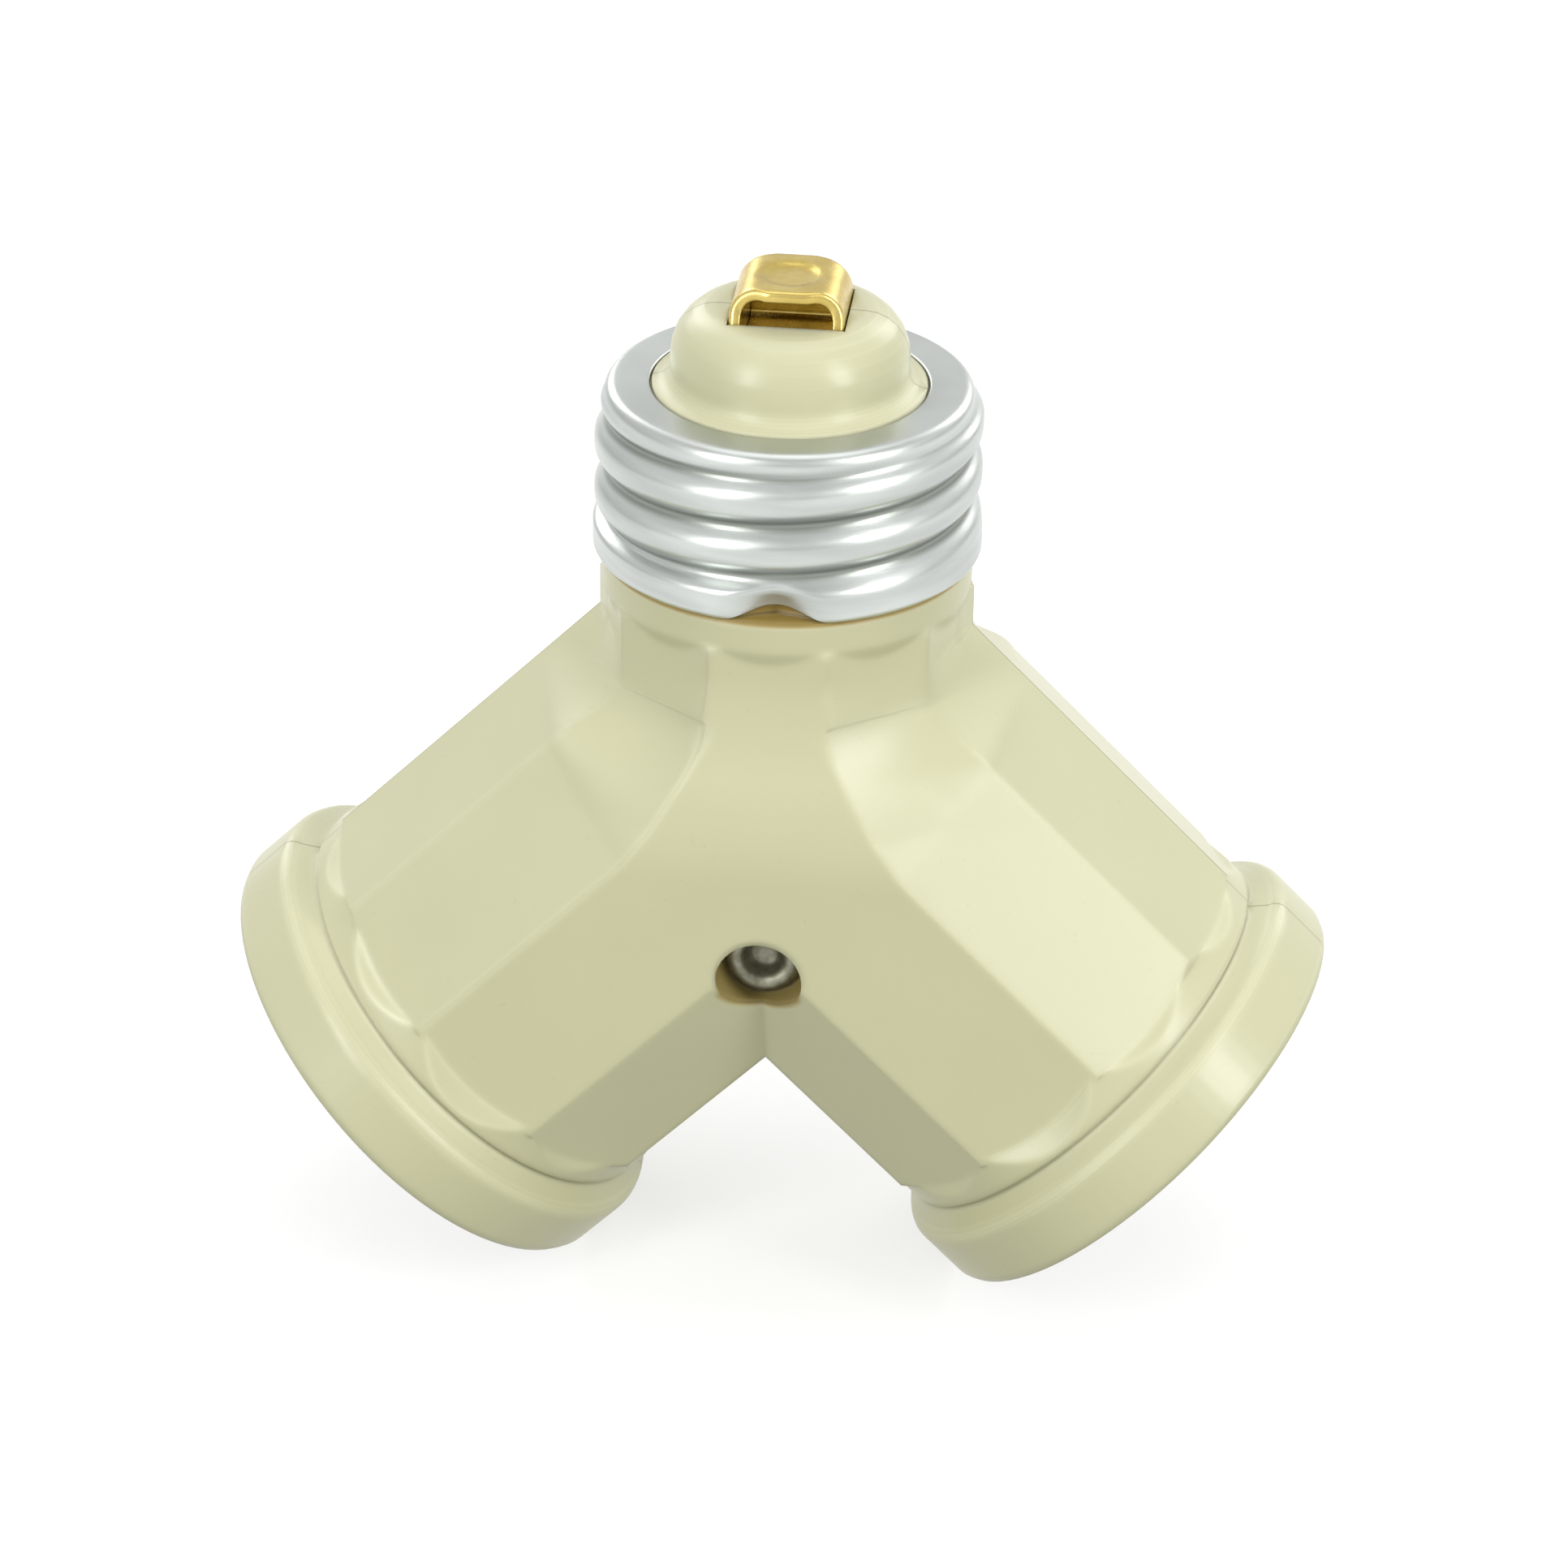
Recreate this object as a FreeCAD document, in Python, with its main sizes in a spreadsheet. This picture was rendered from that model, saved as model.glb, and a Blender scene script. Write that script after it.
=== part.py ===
import FreeCAD, Part
import Sketcher
import math
import os
import re

from FreeCAD import Placement, Rotation, Vector

# Twin lamp socket adapter: a screw plug on top and two lamp sockets below, in a moulded body of two halves.
# Millimetres and degrees. The origin is the middle of the plain band at the foot of the plug's screw shell,
# +Z is the plug's axis and points up, the sockets lie towards -X and +X, and the riveted front faces -Y.

doc = FreeCAD.newDocument("adapter")
sizes = doc.addObject("Spreadsheet::Sheet", "sizes")

VALUES = [
    # Layout
    ("arm_angle", 45, "angle of each socket's axis from straight down"),
    ("crossing_drop", 16.9, "plug origin down to where the socket axes cross"),
    ("bend_radius", 19, "radius of the bend from the neck's axis to a socket's axis"),
    ("fit_gap", 0.1, "clearance between a piece and its seat"),
    # Ten-sided arm of the body
    ("arm_side", 16.4, "axis to the edge on the parting line"),
    ("arm_shoulder_out", 13.6, "axis to the shoulder edge, across"),
    ("arm_shoulder_deep", 9.4, "axis to the shoulder edge, in depth"),
    ("arm_front_half", 5.45, "half the width of the front panel"),
    ("arm_depth", 15.3, "axis to the front panel"),
    # Ten-sided neck of the body
    ("neck_side", 12.8, "axis to the edge on the parting line"),
    ("neck_shoulder_out", 10.36, "axis to the shoulder edge, across"),
    ("neck_shoulder_deep", 7.5, "axis to the shoulder edge, in depth"),
    ("neck_front_half", 3.95, "half the width of the front panel"),
    ("neck_depth", 12.2, "axis to the front panel"),
    ("panel_top", 8.2, "crossing up to where the front panel starts to slope"),
    ("panel_foot", 0.9, "crossing up to where the slope ends"),
    # Collar, core and dome under the plug shell
    ("collar_radius", 12.6, "round collar under the shell"),
    ("collar_foot", 13.4, "crossing up to the foot of the collar on a flat"),
    ("collar_slope", 0.8, "height of the bevel at the collar's foot"),
    ("shelf_drop", 1.2, "plug origin down to the shelf under the shell"),
    ("dome_foot_radius", 9.25, "boss in the shell's top hole"),
    ("dome_foot_height", 1.0, "height of the hollow foot above the shell"),
    ("dome_radius", 8.05, "upright wall of the dome"),
    ("dome_wall_top", 2.0, "top of the upright wall above the shell"),
    ("dome_flat_radius", 5.0, "flat top of the dome"),
    ("dome_height", 5.4, "dome above the shell's top"),
    # Round band and rim of each socket
    ("flats_end", 8.2, "mouth back to the middle of the end of each flat"),
    ("flats_curve", 14, "radius of the curved end of each flat"),
    ("flats_run", 1.8, "length of the slope at that end for each millimetre it rises"),
    ("edges_end", 8.6, "mouth back to where the arm's edges have sloped down to the band"),
    ("band_wall", 2.05, "socket's bore out to the round band between the flats and the rim"),
    ("band_end", 6.45, "mouth back to the end of the band"),
    ("groove_depth", 0.3, "depth of the groove at the rim's foot"),
    ("groove_place", 6.15, "mouth back to the groove"),
    ("rim_round", 1.0, "rounding of the rim's upper edge"),
    ("rim_length", 4.3, "mouth back to the start of the straight rim"),
    ("rim_step", 1.7, "band out to the outside of the rim"),
    ("mouth", 36.3, "crossing to the mouth of the socket"),
    ("lip_round", 0.7, "rounding of the mouth's edges"),
    ("mouth_radius", 14.6, "bore of the mouth"),
    ("mouth_depth", 1.8, "mouth back to the end of the screw shell"),
    # Room inside each arm
    ("socket_floor", 15.4, "crossing to the floor under the insulating disc"),
    ("chamber_radius", 8.75, "contact chamber"),
    ("chamber_floor", 11.0, "crossing to the floor of the contact chamber"),
    # Sheet-metal screw shells
    ("sheet", 0.35, "thickness of both shells' sheet"),
    ("pitch", 3.629, "pitch of the lamp thread"),
    ("thread_depth", 0.85, "crest to root"),
    ("plug_crest", 13.1, "crest radius of the plug's thread"),
    ("plug_band", 13.2, "radius of the plain band"),
    ("plug_band_half", 0.75, "half the height of the plain band"),
    ("plug_height", 10.8, "plug origin up to the top of the shell"),
    ("plug_edge_drop", 1.1, "plug origin down to the shell's lower edge"),
    ("plug_top_radius", 12.45, "wall just under the shell's top"),
    ("plug_top_round", 0.8, "rounding of the shell's top edge"),
    ("plug_hole", 9.4, "hole in the shell's top"),
    ("thread_start", 4.79, "height of a crest on the +X side"),
    ("crimp_depth", 2.0, "how far the crimps push the shell's edge in"),
    ("crimp_width", 8.2, "width of each crimp at the shell's edge"),
    ("crimp_height", 3.2, "height of each crimp"),
    ("crimp_turn", 2.4, "turn of the crimps about the axis"),
    ("socket_major", 13.3, "inside of the socket shell at the thread's root"),
    ("skirt_radius", 13.6, "inside of the socket shell's plain mouth"),
    ("skirt_length", 2.4, "length of the plain mouth"),
    ("socket_hole", 8.5, "hole in the socket shell's bottom"),
    # Insulating discs
    ("disc_thick", 0.8, "thickness of the disc under each socket shell"),
    ("disc_radius", 13.5, "outside of the disc"),
    ("disc_hole", 6.2, "hole for the centre contact"),
    # Contact straps and leaves
    ("strap_thick", 0.8, "thickness of the tip contact strap"),
    ("strap_width", 7.0, "width of the tip contact strap"),
    ("strap_half", 3.45, "plug's axis to the middle of an upright leg"),
    ("strap_top", 7.8, "top of the tip contact above the shell's top"),
    ("strap_bend", 1.7, "bend radius at the middle of the strap"),
    ("dish_radius", 2.2, "round dish pressed into the strap's top"),
    ("dish_depth", 0.25, "depth of that dish"),
    ("pocket_depth", 2.4, "depth of the pocket under the strap"),
    ("strap_knee", 9.0, "crossing up to where the legs start to spread"),
    ("tab_start", 3.0, "socket axis to the bend onto the chamber floor"),
    ("tab_end", 3.4, "socket axis to the end of the tab"),
    ("leaf_thick", 0.4, "thickness of the centre contacts"),
    ("leaf_width", 5.0, "width of the centre contacts"),
    ("leaf_height", 18.2, "crossing to the top of the centre contacts"),
    ("link_thick", 0.5, "thickness of the neutral straps"),
    ("link_width", 5.0, "width of the neutral straps"),
    ("link_gap", 0.35, "neutral strap to the inside of the plug shell's root"),
    ("link_drop", 1.7, "shell's top down to the end of a neutral strap"),
    ("link_out", 13.0, "socket axis to the middle of a neutral strap"),
    ("link_end", 9.3, "socket axis to the end of a neutral strap's tab"),
    # Rivets
    ("body_rivet_drop", 10.1, "crossing down to the rivet through the body"),
    ("body_rivet_radius", 1.6, "shank of the rivet through the body"),
    ("body_rivet_head", 2.75, "heads of the rivet through the body"),
    ("counterbore_radius", 2.95, "sunk seat of the rivet's heads"),
    ("counterbore_depth", 4.2, "depth of that seat"),
    ("small_rivet_radius", 1.2, "shank of the rivets inside the sockets"),
    ("small_rivet_head", 1.5, "heads of the rivets inside the sockets"),
    ("small_rivet_high", 0.6, "height of those heads"),
    ("contact_rivet_place", 0.4, "socket axis to the contact rivet, inwards"),
    ("link_rivet_place", 10.9, "socket axis to the neutral rivet, outwards"),
]

for row, (name, value, note) in enumerate(VALUES, start=1):
    sizes.set(f"A{row}", name)
    sizes.set(f"B{row}", str(value))
    sizes.set(f"C{row}", note)
    sizes.setAlias(f"B{row}", name)
doc.recompute()


def size(name):
    return float(sizes.get(name))


def formula(words):
    """The words of a formula as cells of the sheet."""
    return re.sub(r"[a-z]\w*", r"sizes.\g<0>", words)


# Places: at the crossing, or along a socket's axis with the outer side as local +X
CROSSING = "placement(vector(0; 0; -sizes.crossing_drop); rotation({turn}; 0; 0))"
SOCKET = "placement(vector(0; 0; -sizes.crossing_drop); rotation({turn}; 180 + sizes.arm_angle; 0))"
TURN = {"left": 0, "right": 180}


# Turned pieces: a profile of corners (radius, height) swung about the piece's own axis
def profile_sketch(body, name, corners):
    sketch = body.newObject("Sketcher::SketchObject", name)
    plane = [part for part in body.Origin.OriginFeatures if part.Role == "XZ_Plane"][0]
    sketch.AttachmentSupport = (plane, [""])
    sketch.MapMode = "FlatFace"
    places = []
    for across, up in corners:
        x = float(sizes.evalExpression(formula(across)))
        y = float(sizes.evalExpression(formula(up)))
        places.append(Vector(x, y, 0))
    count = len(corners)
    for i in range(count):
        sketch.addGeometry(Part.LineSegment(places[i], places[(i + 1) % count]), False)
    for i in range(count):
        sketch.addConstraint(Sketcher.Constraint("Coincident", i, 2, (i + 1) % count, 1))
    for i, (across, up) in enumerate(corners):
        if across == "0":
            sketch.addConstraint(Sketcher.Constraint("PointOnObject", i, 1, -2))
        else:
            number = sketch.addConstraint(Sketcher.Constraint("DistanceX", -1, 1, i, 1, places[i].x))
            sketch.setExpression(f"Constraints[{number}]", formula(across))
        if up == "0":
            sketch.addConstraint(Sketcher.Constraint("PointOnObject", i, 1, -1))
        else:
            number = sketch.addConstraint(Sketcher.Constraint("DistanceY", -1, 1, i, 1, places[i].y))
            sketch.setExpression(f"Constraints[{number}]", formula(up))
    return sketch


def turned(name, corners, placement):
    body = doc.addObject("PartDesign::Body", name)
    body.Label = name
    sketch = profile_sketch(body, name + "_profile", corners)
    swing = body.newObject("PartDesign::Revolution", name + "_turned")
    swing.Profile = sketch
    swing.ReferenceAxis = (sketch, ["V_Axis"])
    swing.Angle = 360
    body.Tip = swing
    body.setExpression("Placement", placement)
    return body


def drilled(body, across, radius):
    """A hole along the piece's own axis, its centre across local +X."""
    sketch = body.newObject("Sketcher::SketchObject", body.Name + "_hole")
    plane = [part for part in body.Origin.OriginFeatures if part.Role == "XY_Plane"][0]
    sketch.AttachmentSupport = (plane, [""])
    sketch.MapMode = "FlatFace"
    x = float(sizes.evalExpression(formula(across)))
    sketch.addGeometry(Part.Circle(Vector(x, 0, 0), Vector(0, 0, 1), 1.0), False)
    sketch.addConstraint(Sketcher.Constraint("PointOnObject", 0, 3, -1))
    number = sketch.addConstraint(Sketcher.Constraint("DistanceX", -1, 1, 0, 3, x))
    sketch.setExpression(f"Constraints[{number}]", formula(across))
    number = sketch.addConstraint(Sketcher.Constraint("Radius", 0, 1.0))
    sketch.setExpression(f"Constraints[{number}]", formula(radius))
    pocket = body.newObject("PartDesign::Pocket", body.Name + "_drilled")
    pocket.Profile = sketch
    pocket.Type = "ThroughAll"
    pocket.Midplane = True
    body.Tip = pocket
    return body


# Solids made in code: turned profiles, prisms and bent sheet
def spun(corners):
    """A profile of points (radius, height) swung about Z."""
    points = [Vector(radius, 0, height) for radius, height in corners]
    face = Part.Face(Part.makePolygon(points + points[:1]))
    return face.revolve(Vector(0, 0, 0), Vector(0, 0, 1), 360)


def bent_side(points, bend, shift):
    """One side of a bent sheet in the XZ plane: lines and arcs beside the middle line."""
    edges = []
    start = None
    last = len(points) - 1
    for i in range(last + 1):
        along = (points[min(i + 1, last)] - points[min(i, last - 1)]).normalize()
        if i in (0, last):
            before = along
        else:
            before = (points[i] - points[i - 1]).normalize()
        side_in = Vector(-before.z, 0, before.x)
        side_out = Vector(-along.z, 0, along.x)
        if i in (0, last):
            place = points[i] + side_out * shift
            if start is not None:
                edges.append(Part.LineSegment(start, place).toShape())
            start = place
            continue
        turn = math.acos(max(-1.0, min(1.0, before.dot(along))))
        way = 1 if side_in.dot(along) > 0 else -1
        reach = bend * math.tan(turn / 2)
        centre = points[i] - before * reach + side_in * (way * bend)
        radius = bend - way * shift
        arc_in = centre - side_in * (way * radius)
        arc_out = centre - side_out * (way * radius)
        middle = centre - (side_in + side_out).normalize() * (way * radius)
        edges.append(Part.LineSegment(start, arc_in).toShape())
        edges.append(Part.Arc(arc_in, middle, arc_out).toShape())
        start = arc_out
    return edges


def bent_sheet(points, thick, width, bend):
    """Sheet of even thickness bent along points (x, z), its width along Y."""
    line = [Vector(x, 0, z) for x, z in points]
    upper = bent_side(line, bend, thick / 2)
    lower = bent_side(line, bend, -thick / 2)
    first = Part.LineSegment(upper[0].Vertexes[0].Point, lower[0].Vertexes[0].Point).toShape()
    final = Part.LineSegment(upper[-1].Vertexes[-1].Point, lower[-1].Vertexes[-1].Point).toShape()
    wire = Part.Wire(Part.__sortEdges__(upper + lower + [first, final]))
    sheet = Part.Face(wire).extrude(Vector(0, width, 0))
    sheet.translate(Vector(0, -width / 2, 0))
    return sheet


def socket_place(side):
    swing = Rotation(Vector(0, 1, 0), 180 + size("arm_angle"))
    turn = Rotation(Vector(0, 0, 1), TURN[side])
    return Placement(Vector(0, 0, 0), turn * swing)


def on_socket(shape, side):
    """A shape in a socket's own coordinates, set at the crossing."""
    copy = shape.copy()
    copy.Placement = socket_place(side).multiply(copy.Placement)
    return copy


def on_axis(across, along):
    """Point (x, z) at the crossing of a point beside the left socket's axis."""
    place = socket_place("left").multVec(Vector(across, 0, along))
    return place.x, place.z


def made(name, shape, placement):
    piece = doc.addObject("Part::Feature", name)
    piece.Label = name
    piece.Shape = shape
    piece.setExpression("Placement", placement)
    return piece


BIG = 200.0


def front_space():
    return Part.makeBox(BIG, BIG / 2, BIG, Vector(-BIG / 2, -BIG / 2, -BIG / 2))


# Tip contact: a brass strap bent over the dome, its legs spread to the floor of each contact chamber
def strap_line():
    top = size("crossing_drop") + size("plug_height") + size("strap_top") - size("strap_thick") / 2
    tab = size("chamber_floor") + size("strap_thick") / 2
    left = [
        on_axis(-size("tab_end"), tab),
        on_axis(size("tab_start"), tab),
        (-size("strap_half"), size("strap_knee")),
        (-size("strap_half"), top),
    ]
    return left + [(-x, z) for x, z in reversed(left)]


def tip_contact(spare):
    thick = size("strap_thick") + 2 * spare
    width = size("strap_width") + 2 * spare
    return bent_sheet(strap_line(), thick, width, size("strap_bend"))


# Neutral straps: from inside the plug shell down a channel and onto the floor of each socket
def link_line():
    out = size("plug_crest") - size("thread_depth") - size("sheet") - size("link_gap")
    x = -(out - size("link_thick") / 2)
    top = size("crossing_drop") + size("plug_height") - size("link_drop")
    angle = math.radians(size("arm_angle"))
    knee = (size("link_out") + x * math.cos(angle)) / math.sin(angle)
    tab = size("socket_floor") - size("link_thick") / 2
    return [(x, top), (x, knee), on_axis(size("link_out"), tab), on_axis(size("link_end"), tab)]


def neutral_link(spare):
    thick = size("link_thick") + 2 * spare
    width = size("link_width") + 2 * spare
    return bent_sheet(link_line(), thick, width, size("link_thick"))


# Body half: a ten-sided neck that bends into two ten-sided arms with round rims
def half_section(share):
    """The front half of the ten-sided section, from the neck's (0) to an arm's (1)."""

    def between(name):
        return size("neck_" + name) + share * (size("arm_" + name) - size("neck_" + name))

    side = between("side")
    shoulder = (between("shoulder_out"), between("shoulder_deep"))
    front = (between("front_half"), between("depth"))
    ridge = [front[k] + 0.5 * (front[k] - shoulder[k]) for k in (0, 1)]
    right = [(side, -1.0), (side, 0.0), shoulder, ridge]
    return right + [(-x, deep) for x, deep in reversed(right)]


def section_points(share, centre, radius, swing):
    """That section on a plane swung about the bend's centre."""
    across = Vector(math.cos(swing), 0, -math.sin(swing))
    return [centre + across * (radius + x) + Vector(0, -deep, 0) for x, deep in half_section(share)]


def closed(points):
    return Part.makePolygon(points + points[:1])


def bore_radius():
    """Room for a socket shell."""
    return size("skirt_radius") + size("sheet") + size("fit_gap")


def band_radius():
    return bore_radius() + size("band_wall")


def body_quarter():
    radius = size("bend_radius")
    angle = math.radians(size("arm_angle"))
    reach = radius * math.tan(angle / 2)
    centre = Vector(-radius, 0, reach)
    top = size("crossing_drop") - size("shelf_drop")
    along = Vector(-math.sin(angle), 0, -math.cos(angle))
    # Above the bend, the arm's outer edge on the parting line meets the neck's edge at a corner
    side = size("arm_side")
    corner = (size("neck_side") - side * math.cos(angle)) / math.sin(angle)
    corner_high = side * math.sin(angle) - corner * math.cos(angle)
    level = (side * math.sin(angle) - reach) / math.cos(angle)

    def outer_edge(distance):
        x, z = on_axis(side, distance)
        return [Vector(x, deep, z) for deep in (0.0, 1.0)]

    # Neck, its edges bevelled off under the collar
    first = section_points(0, centre, radius, 0)
    start = [point + Vector(0, 0, corner_high - reach) for point in first]
    first[-2:] = outer_edge(level)
    neck = Part.Face(closed(start)).extrude(Vector(0, 0, top - corner_high))
    foot = size("collar_foot")
    slope = size("collar_slope")
    wide = size("neck_side") + slope
    neck = neck.common(spun([(0, 0), (wide, 0), (wide, foot - slope), (size("collar_radius"), foot), (0, foot)]))
    flare = Part.makeLoft([closed(start), closed(first)], True, True)
    # Bend: the section swings round while it grows from the neck's to the arm's
    steps = 4
    wires = [closed(first)]
    for step in range(1, steps + 1):
        share = math.sin(math.pi / 2 * min(1.0, step / steps / 0.85))
        points = section_points(share, centre, radius, angle * step / steps)
        points[-2:] = outer_edge(level + (reach - level) * step / steps)
        wires.append(closed(points))
    bend = Part.makeLoft(wires, True, False)
    # Arm, its edges sloping down to the round band
    end = size("mouth") - size("edges_end")
    arm = Part.Face(wires[-1]).extrude(along * (end + 1 - reach))
    band = band_radius() - 0.02
    slope = 1.2
    wide = band + slope
    limit = spun([(0, 0), (wide, 0), (wide, end - slope), (band, end), (band, end + 1), (0, end + 1)])
    arm = arm.common(on_socket(limit, "left"))
    quarter = neck.fuse([flare, bend, arm])
    # Front panel: upright on the neck, sloping out to the arms' face
    low = -BIG / 2
    panel = [
        (0, BIG / 2),
        (-size("neck_depth"), BIG / 2),
        (-size("neck_depth"), size("panel_top")),
        (-size("arm_depth"), size("panel_foot")),
        (-size("arm_depth"), low),
        (0, low),
    ]
    points = [Vector(0, y, z) for y, z in panel]
    space = Part.Face(Part.makePolygon(points + points[:1])).extrude(Vector(-BIG / 2, 0, 0))
    return quarter.common(space)


def flat_cutters():
    """What each flat's curved end takes off the round band, in the socket's own coordinates."""
    curve = size("flats_curve")
    high = 1.5
    shoulder = (size("arm_shoulder_out"), size("arm_shoulder_deep"))
    corners = [(size("arm_side"), 0.0), shoulder, (size("arm_front_half"), size("arm_depth"))]
    corners += [(-x, deep) for x, deep in reversed(corners)]
    end = size("mouth") - size("flats_end") - curve
    cutters = []
    for (x1, deep1), (x2, deep2) in zip(corners, corners[1:]):
        length = math.hypot(x2 - x1, deep2 - deep1)
        normal = Vector((deep2 - deep1) / length, (x1 - x2) / length, 0)
        away = normal.x * x1 + normal.y * deep1 - 0.02
        place = normal * away + Vector(0, 0, end)
        for way in (1, -1):
            base = Vector(place.x, way * place.y, place.z)
            facing = Vector(normal.x, way * normal.y, 0)
            cutters.append(Part.makeCone(curve, curve + size("flats_run") * high, high, base, facing))
    return cutters


def rim():
    """Round end of an arm, in the socket's own coordinates."""
    r = band_radius() + size("rim_step")
    lip = size("lip_round")
    mouth = size("mouth")
    turn = lip * (1 - math.sqrt(0.5))
    low = mouth - size("flats_end") - 1.3
    foot = mouth - size("band_end")
    band = Part.makeCylinder(band_radius(), foot - low, Vector(0, 0, low)).cut(flat_cutters())
    corners = [
        (0, foot),
        (band_radius(), foot),
        (band_radius() - size("groove_depth"), mouth - size("groove_place")),
    ]
    steps = 5
    bend = size("rim_round")
    for step in range(steps + 1):
        a = math.radians(78 - 78 * step / steps)
        corners.append((
            r - bend * (1 - math.cos(a)),
            mouth - size("rim_length") - bend * math.sin(a),
        ))
    corners += [
        (r, mouth - lip),
        (r - turn, mouth - turn),
        (r - lip, mouth),
        (0, mouth),
    ]
    return spun(corners).fuse(band)


def core():
    """Round collar, core under the plug shell and dome, standing on the crossing."""
    drop = size("crossing_drop")
    shelf = drop - size("shelf_drop")
    foot = size("collar_foot")
    slope = size("collar_slope")
    top = drop + size("plug_height")
    core_radius = size("plug_crest") - size("thread_depth") - size("sheet") - size("fit_gap")
    core_top = top - size("sheet") - size("fit_gap")
    # Hollow foot and rounded top of the dome
    foot_arc = []
    dome_arc = []
    steps = 6
    for step in range(steps + 1):
        a = math.radians(90 * step / steps)
        fall = size("dome_foot_radius") - size("dome_radius")
        foot_arc.append((
            size("dome_foot_radius") - fall * math.sin(a),
            top + size("dome_foot_height") * (1 - math.cos(a)),
        ))
        dome_arc.append((
            size("dome_flat_radius") + (size("dome_radius") - size("dome_flat_radius")) * math.cos(a),
            top + size("dome_wall_top") + (size("dome_height") - size("dome_wall_top")) * math.sin(a),
        ))
    corners = [
        (0, foot - slope),
        (size("neck_depth") - 0.3, foot - slope),
        (size("collar_radius"), foot),
        (size("collar_radius"), shelf),
        (core_radius, shelf),
        (core_radius, core_top),
        (size("dome_foot_radius"), core_top),
    ]
    return spun(corners + foot_arc + dome_arc + [(0, top + size("dome_height"))])


def socket_room():
    """Everything cut out of an arm for its socket, in the socket's own coordinates."""
    gap = size("fit_gap")
    mouth = size("mouth")
    floor = size("socket_floor")
    shell_end = mouth - size("mouth_depth")
    bore = bore_radius()
    bevel = size("lip_round")
    corners = [
        (0, floor),
        (bore, floor),
        (bore, shell_end),
        (size("mouth_radius"), shell_end),
        (size("mouth_radius"), mouth - bevel),
        (size("mouth_radius") + bevel, mouth + 0.01),
        (0, mouth + 0.01),
    ]
    room = spun(corners)
    chamber = Part.makeCylinder(size("chamber_radius"), floor, Vector(0, 0, size("chamber_floor")))
    head = size("small_rivet_head") + 2 * gap
    high = size("small_rivet_high") + 2 * gap
    seat = Part.makeCylinder(
        head, high + 1, Vector(-size("contact_rivet_place"), 0, size("chamber_floor") - high)
    )
    under = floor - size("link_thick") - high
    link_seat = Part.makeCylinder(head, high + size("link_thick"), Vector(size("link_rivet_place"), 0, under))
    return room.fuse([chamber, seat, link_seat])


def crimp_wedge(spare):
    """The tool that dents the shell's lower edge at the front, standing at the plug's origin."""
    band = size("plug_band")
    half = size("crimp_width") / 2
    edge = math.sqrt(band ** 2 - half ** 2)
    spread = (edge - (band - size("crimp_depth"))) / half
    rise = size("crimp_height") / size("crimp_depth")
    inward = spare * math.sqrt(1 + spread ** 2)
    low = -size("plug_edge_drop") - 0.1
    tip = -(band - size("crimp_depth")) + 0.1 / rise + inward
    wide = 3 * half
    corner = Vector(0, tip, low)
    left = Vector(-wide, tip - wide * spread, low)
    right = Vector(wide, tip - wide * spread, low)
    high = size("crimp_height") + 2 * inward * rise + 0.6
    wedge = Part.Face(Part.makePolygon([corner, right, left, corner])).extrude(Vector(0, -high / rise, high))
    wedge.rotate(Vector(0, 0, 0), Vector(0, 0, 1), size("crimp_turn"))
    return wedge


def body_half():
    quarter = body_quarter()
    half = quarter.fuse(quarter.mirror(Vector(0, 0, 0), Vector(1, 0, 0)))
    rims = [on_socket(rim(), side) for side in TURN]
    half = half.fuse(rims + [core()])
    half = half.common(front_space())
    rivet = Vector(0, -BIG / 4, -size("body_rivet_drop"))
    hole = Part.makeCylinder(size("body_rivet_radius") + size("fit_gap"), BIG / 2, rivet, Vector(0, 1, 0))
    rivet.y = -size("arm_depth") - 1
    seat = Part.makeCylinder(
        size("counterbore_radius"), size("counterbore_depth") + 1, rivet, Vector(0, 1, 0)
    )
    link = neutral_link(size("fit_gap"))
    dent = crimp_wedge(size("sheet") + size("fit_gap"))
    dent.translate(Vector(0, 0, size("crossing_drop")))
    gap = size("fit_gap")
    wide = size("strap_half") - size("strap_thick") / 2 + gap
    deep = size("strap_width") / 2 + gap
    dome_top = size("crossing_drop") + size("plug_height") + size("dome_height")
    low = dome_top - size("pocket_depth")
    high = size("pocket_depth") + size("strap_top")
    pocket = Part.makeBox(2 * wide, 2 * deep, high, Vector(-wide, -deep, low))
    rooms = [on_socket(socket_room(), side) for side in TURN]
    links = [link, link.mirror(Vector(0, 0, 0), Vector(1, 0, 0))]
    half = half.cut(rooms + links + [tip_contact(gap), pocket, hole, seat, dent])
    return half.removeSplitter()


# Plug's screw shell: sheet rolled into a right-hand thread, crimped in front and behind
def smooth(share):
    share = max(0.0, min(1.0, share))
    return share * share * (3 - 2 * share)


def plug_radius(angle, height):
    """Outside of the rolled thread at an angle about the axis and a height."""
    wave = math.cos(2 * math.pi * (height - size("thread_start")) / size("pitch") - angle)
    radius = size("plug_crest") - size("thread_depth") * (1 - wave) / 2
    band = 1 - smooth((height - size("plug_band_half")) / 0.8)
    radius += band * (size("plug_band") - radius)
    top = size("plug_height") - size("plug_top_round")
    under = smooth((height - top + 1.2) / 1.2)
    return radius + under * (size("plug_top_radius") - radius)


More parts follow.
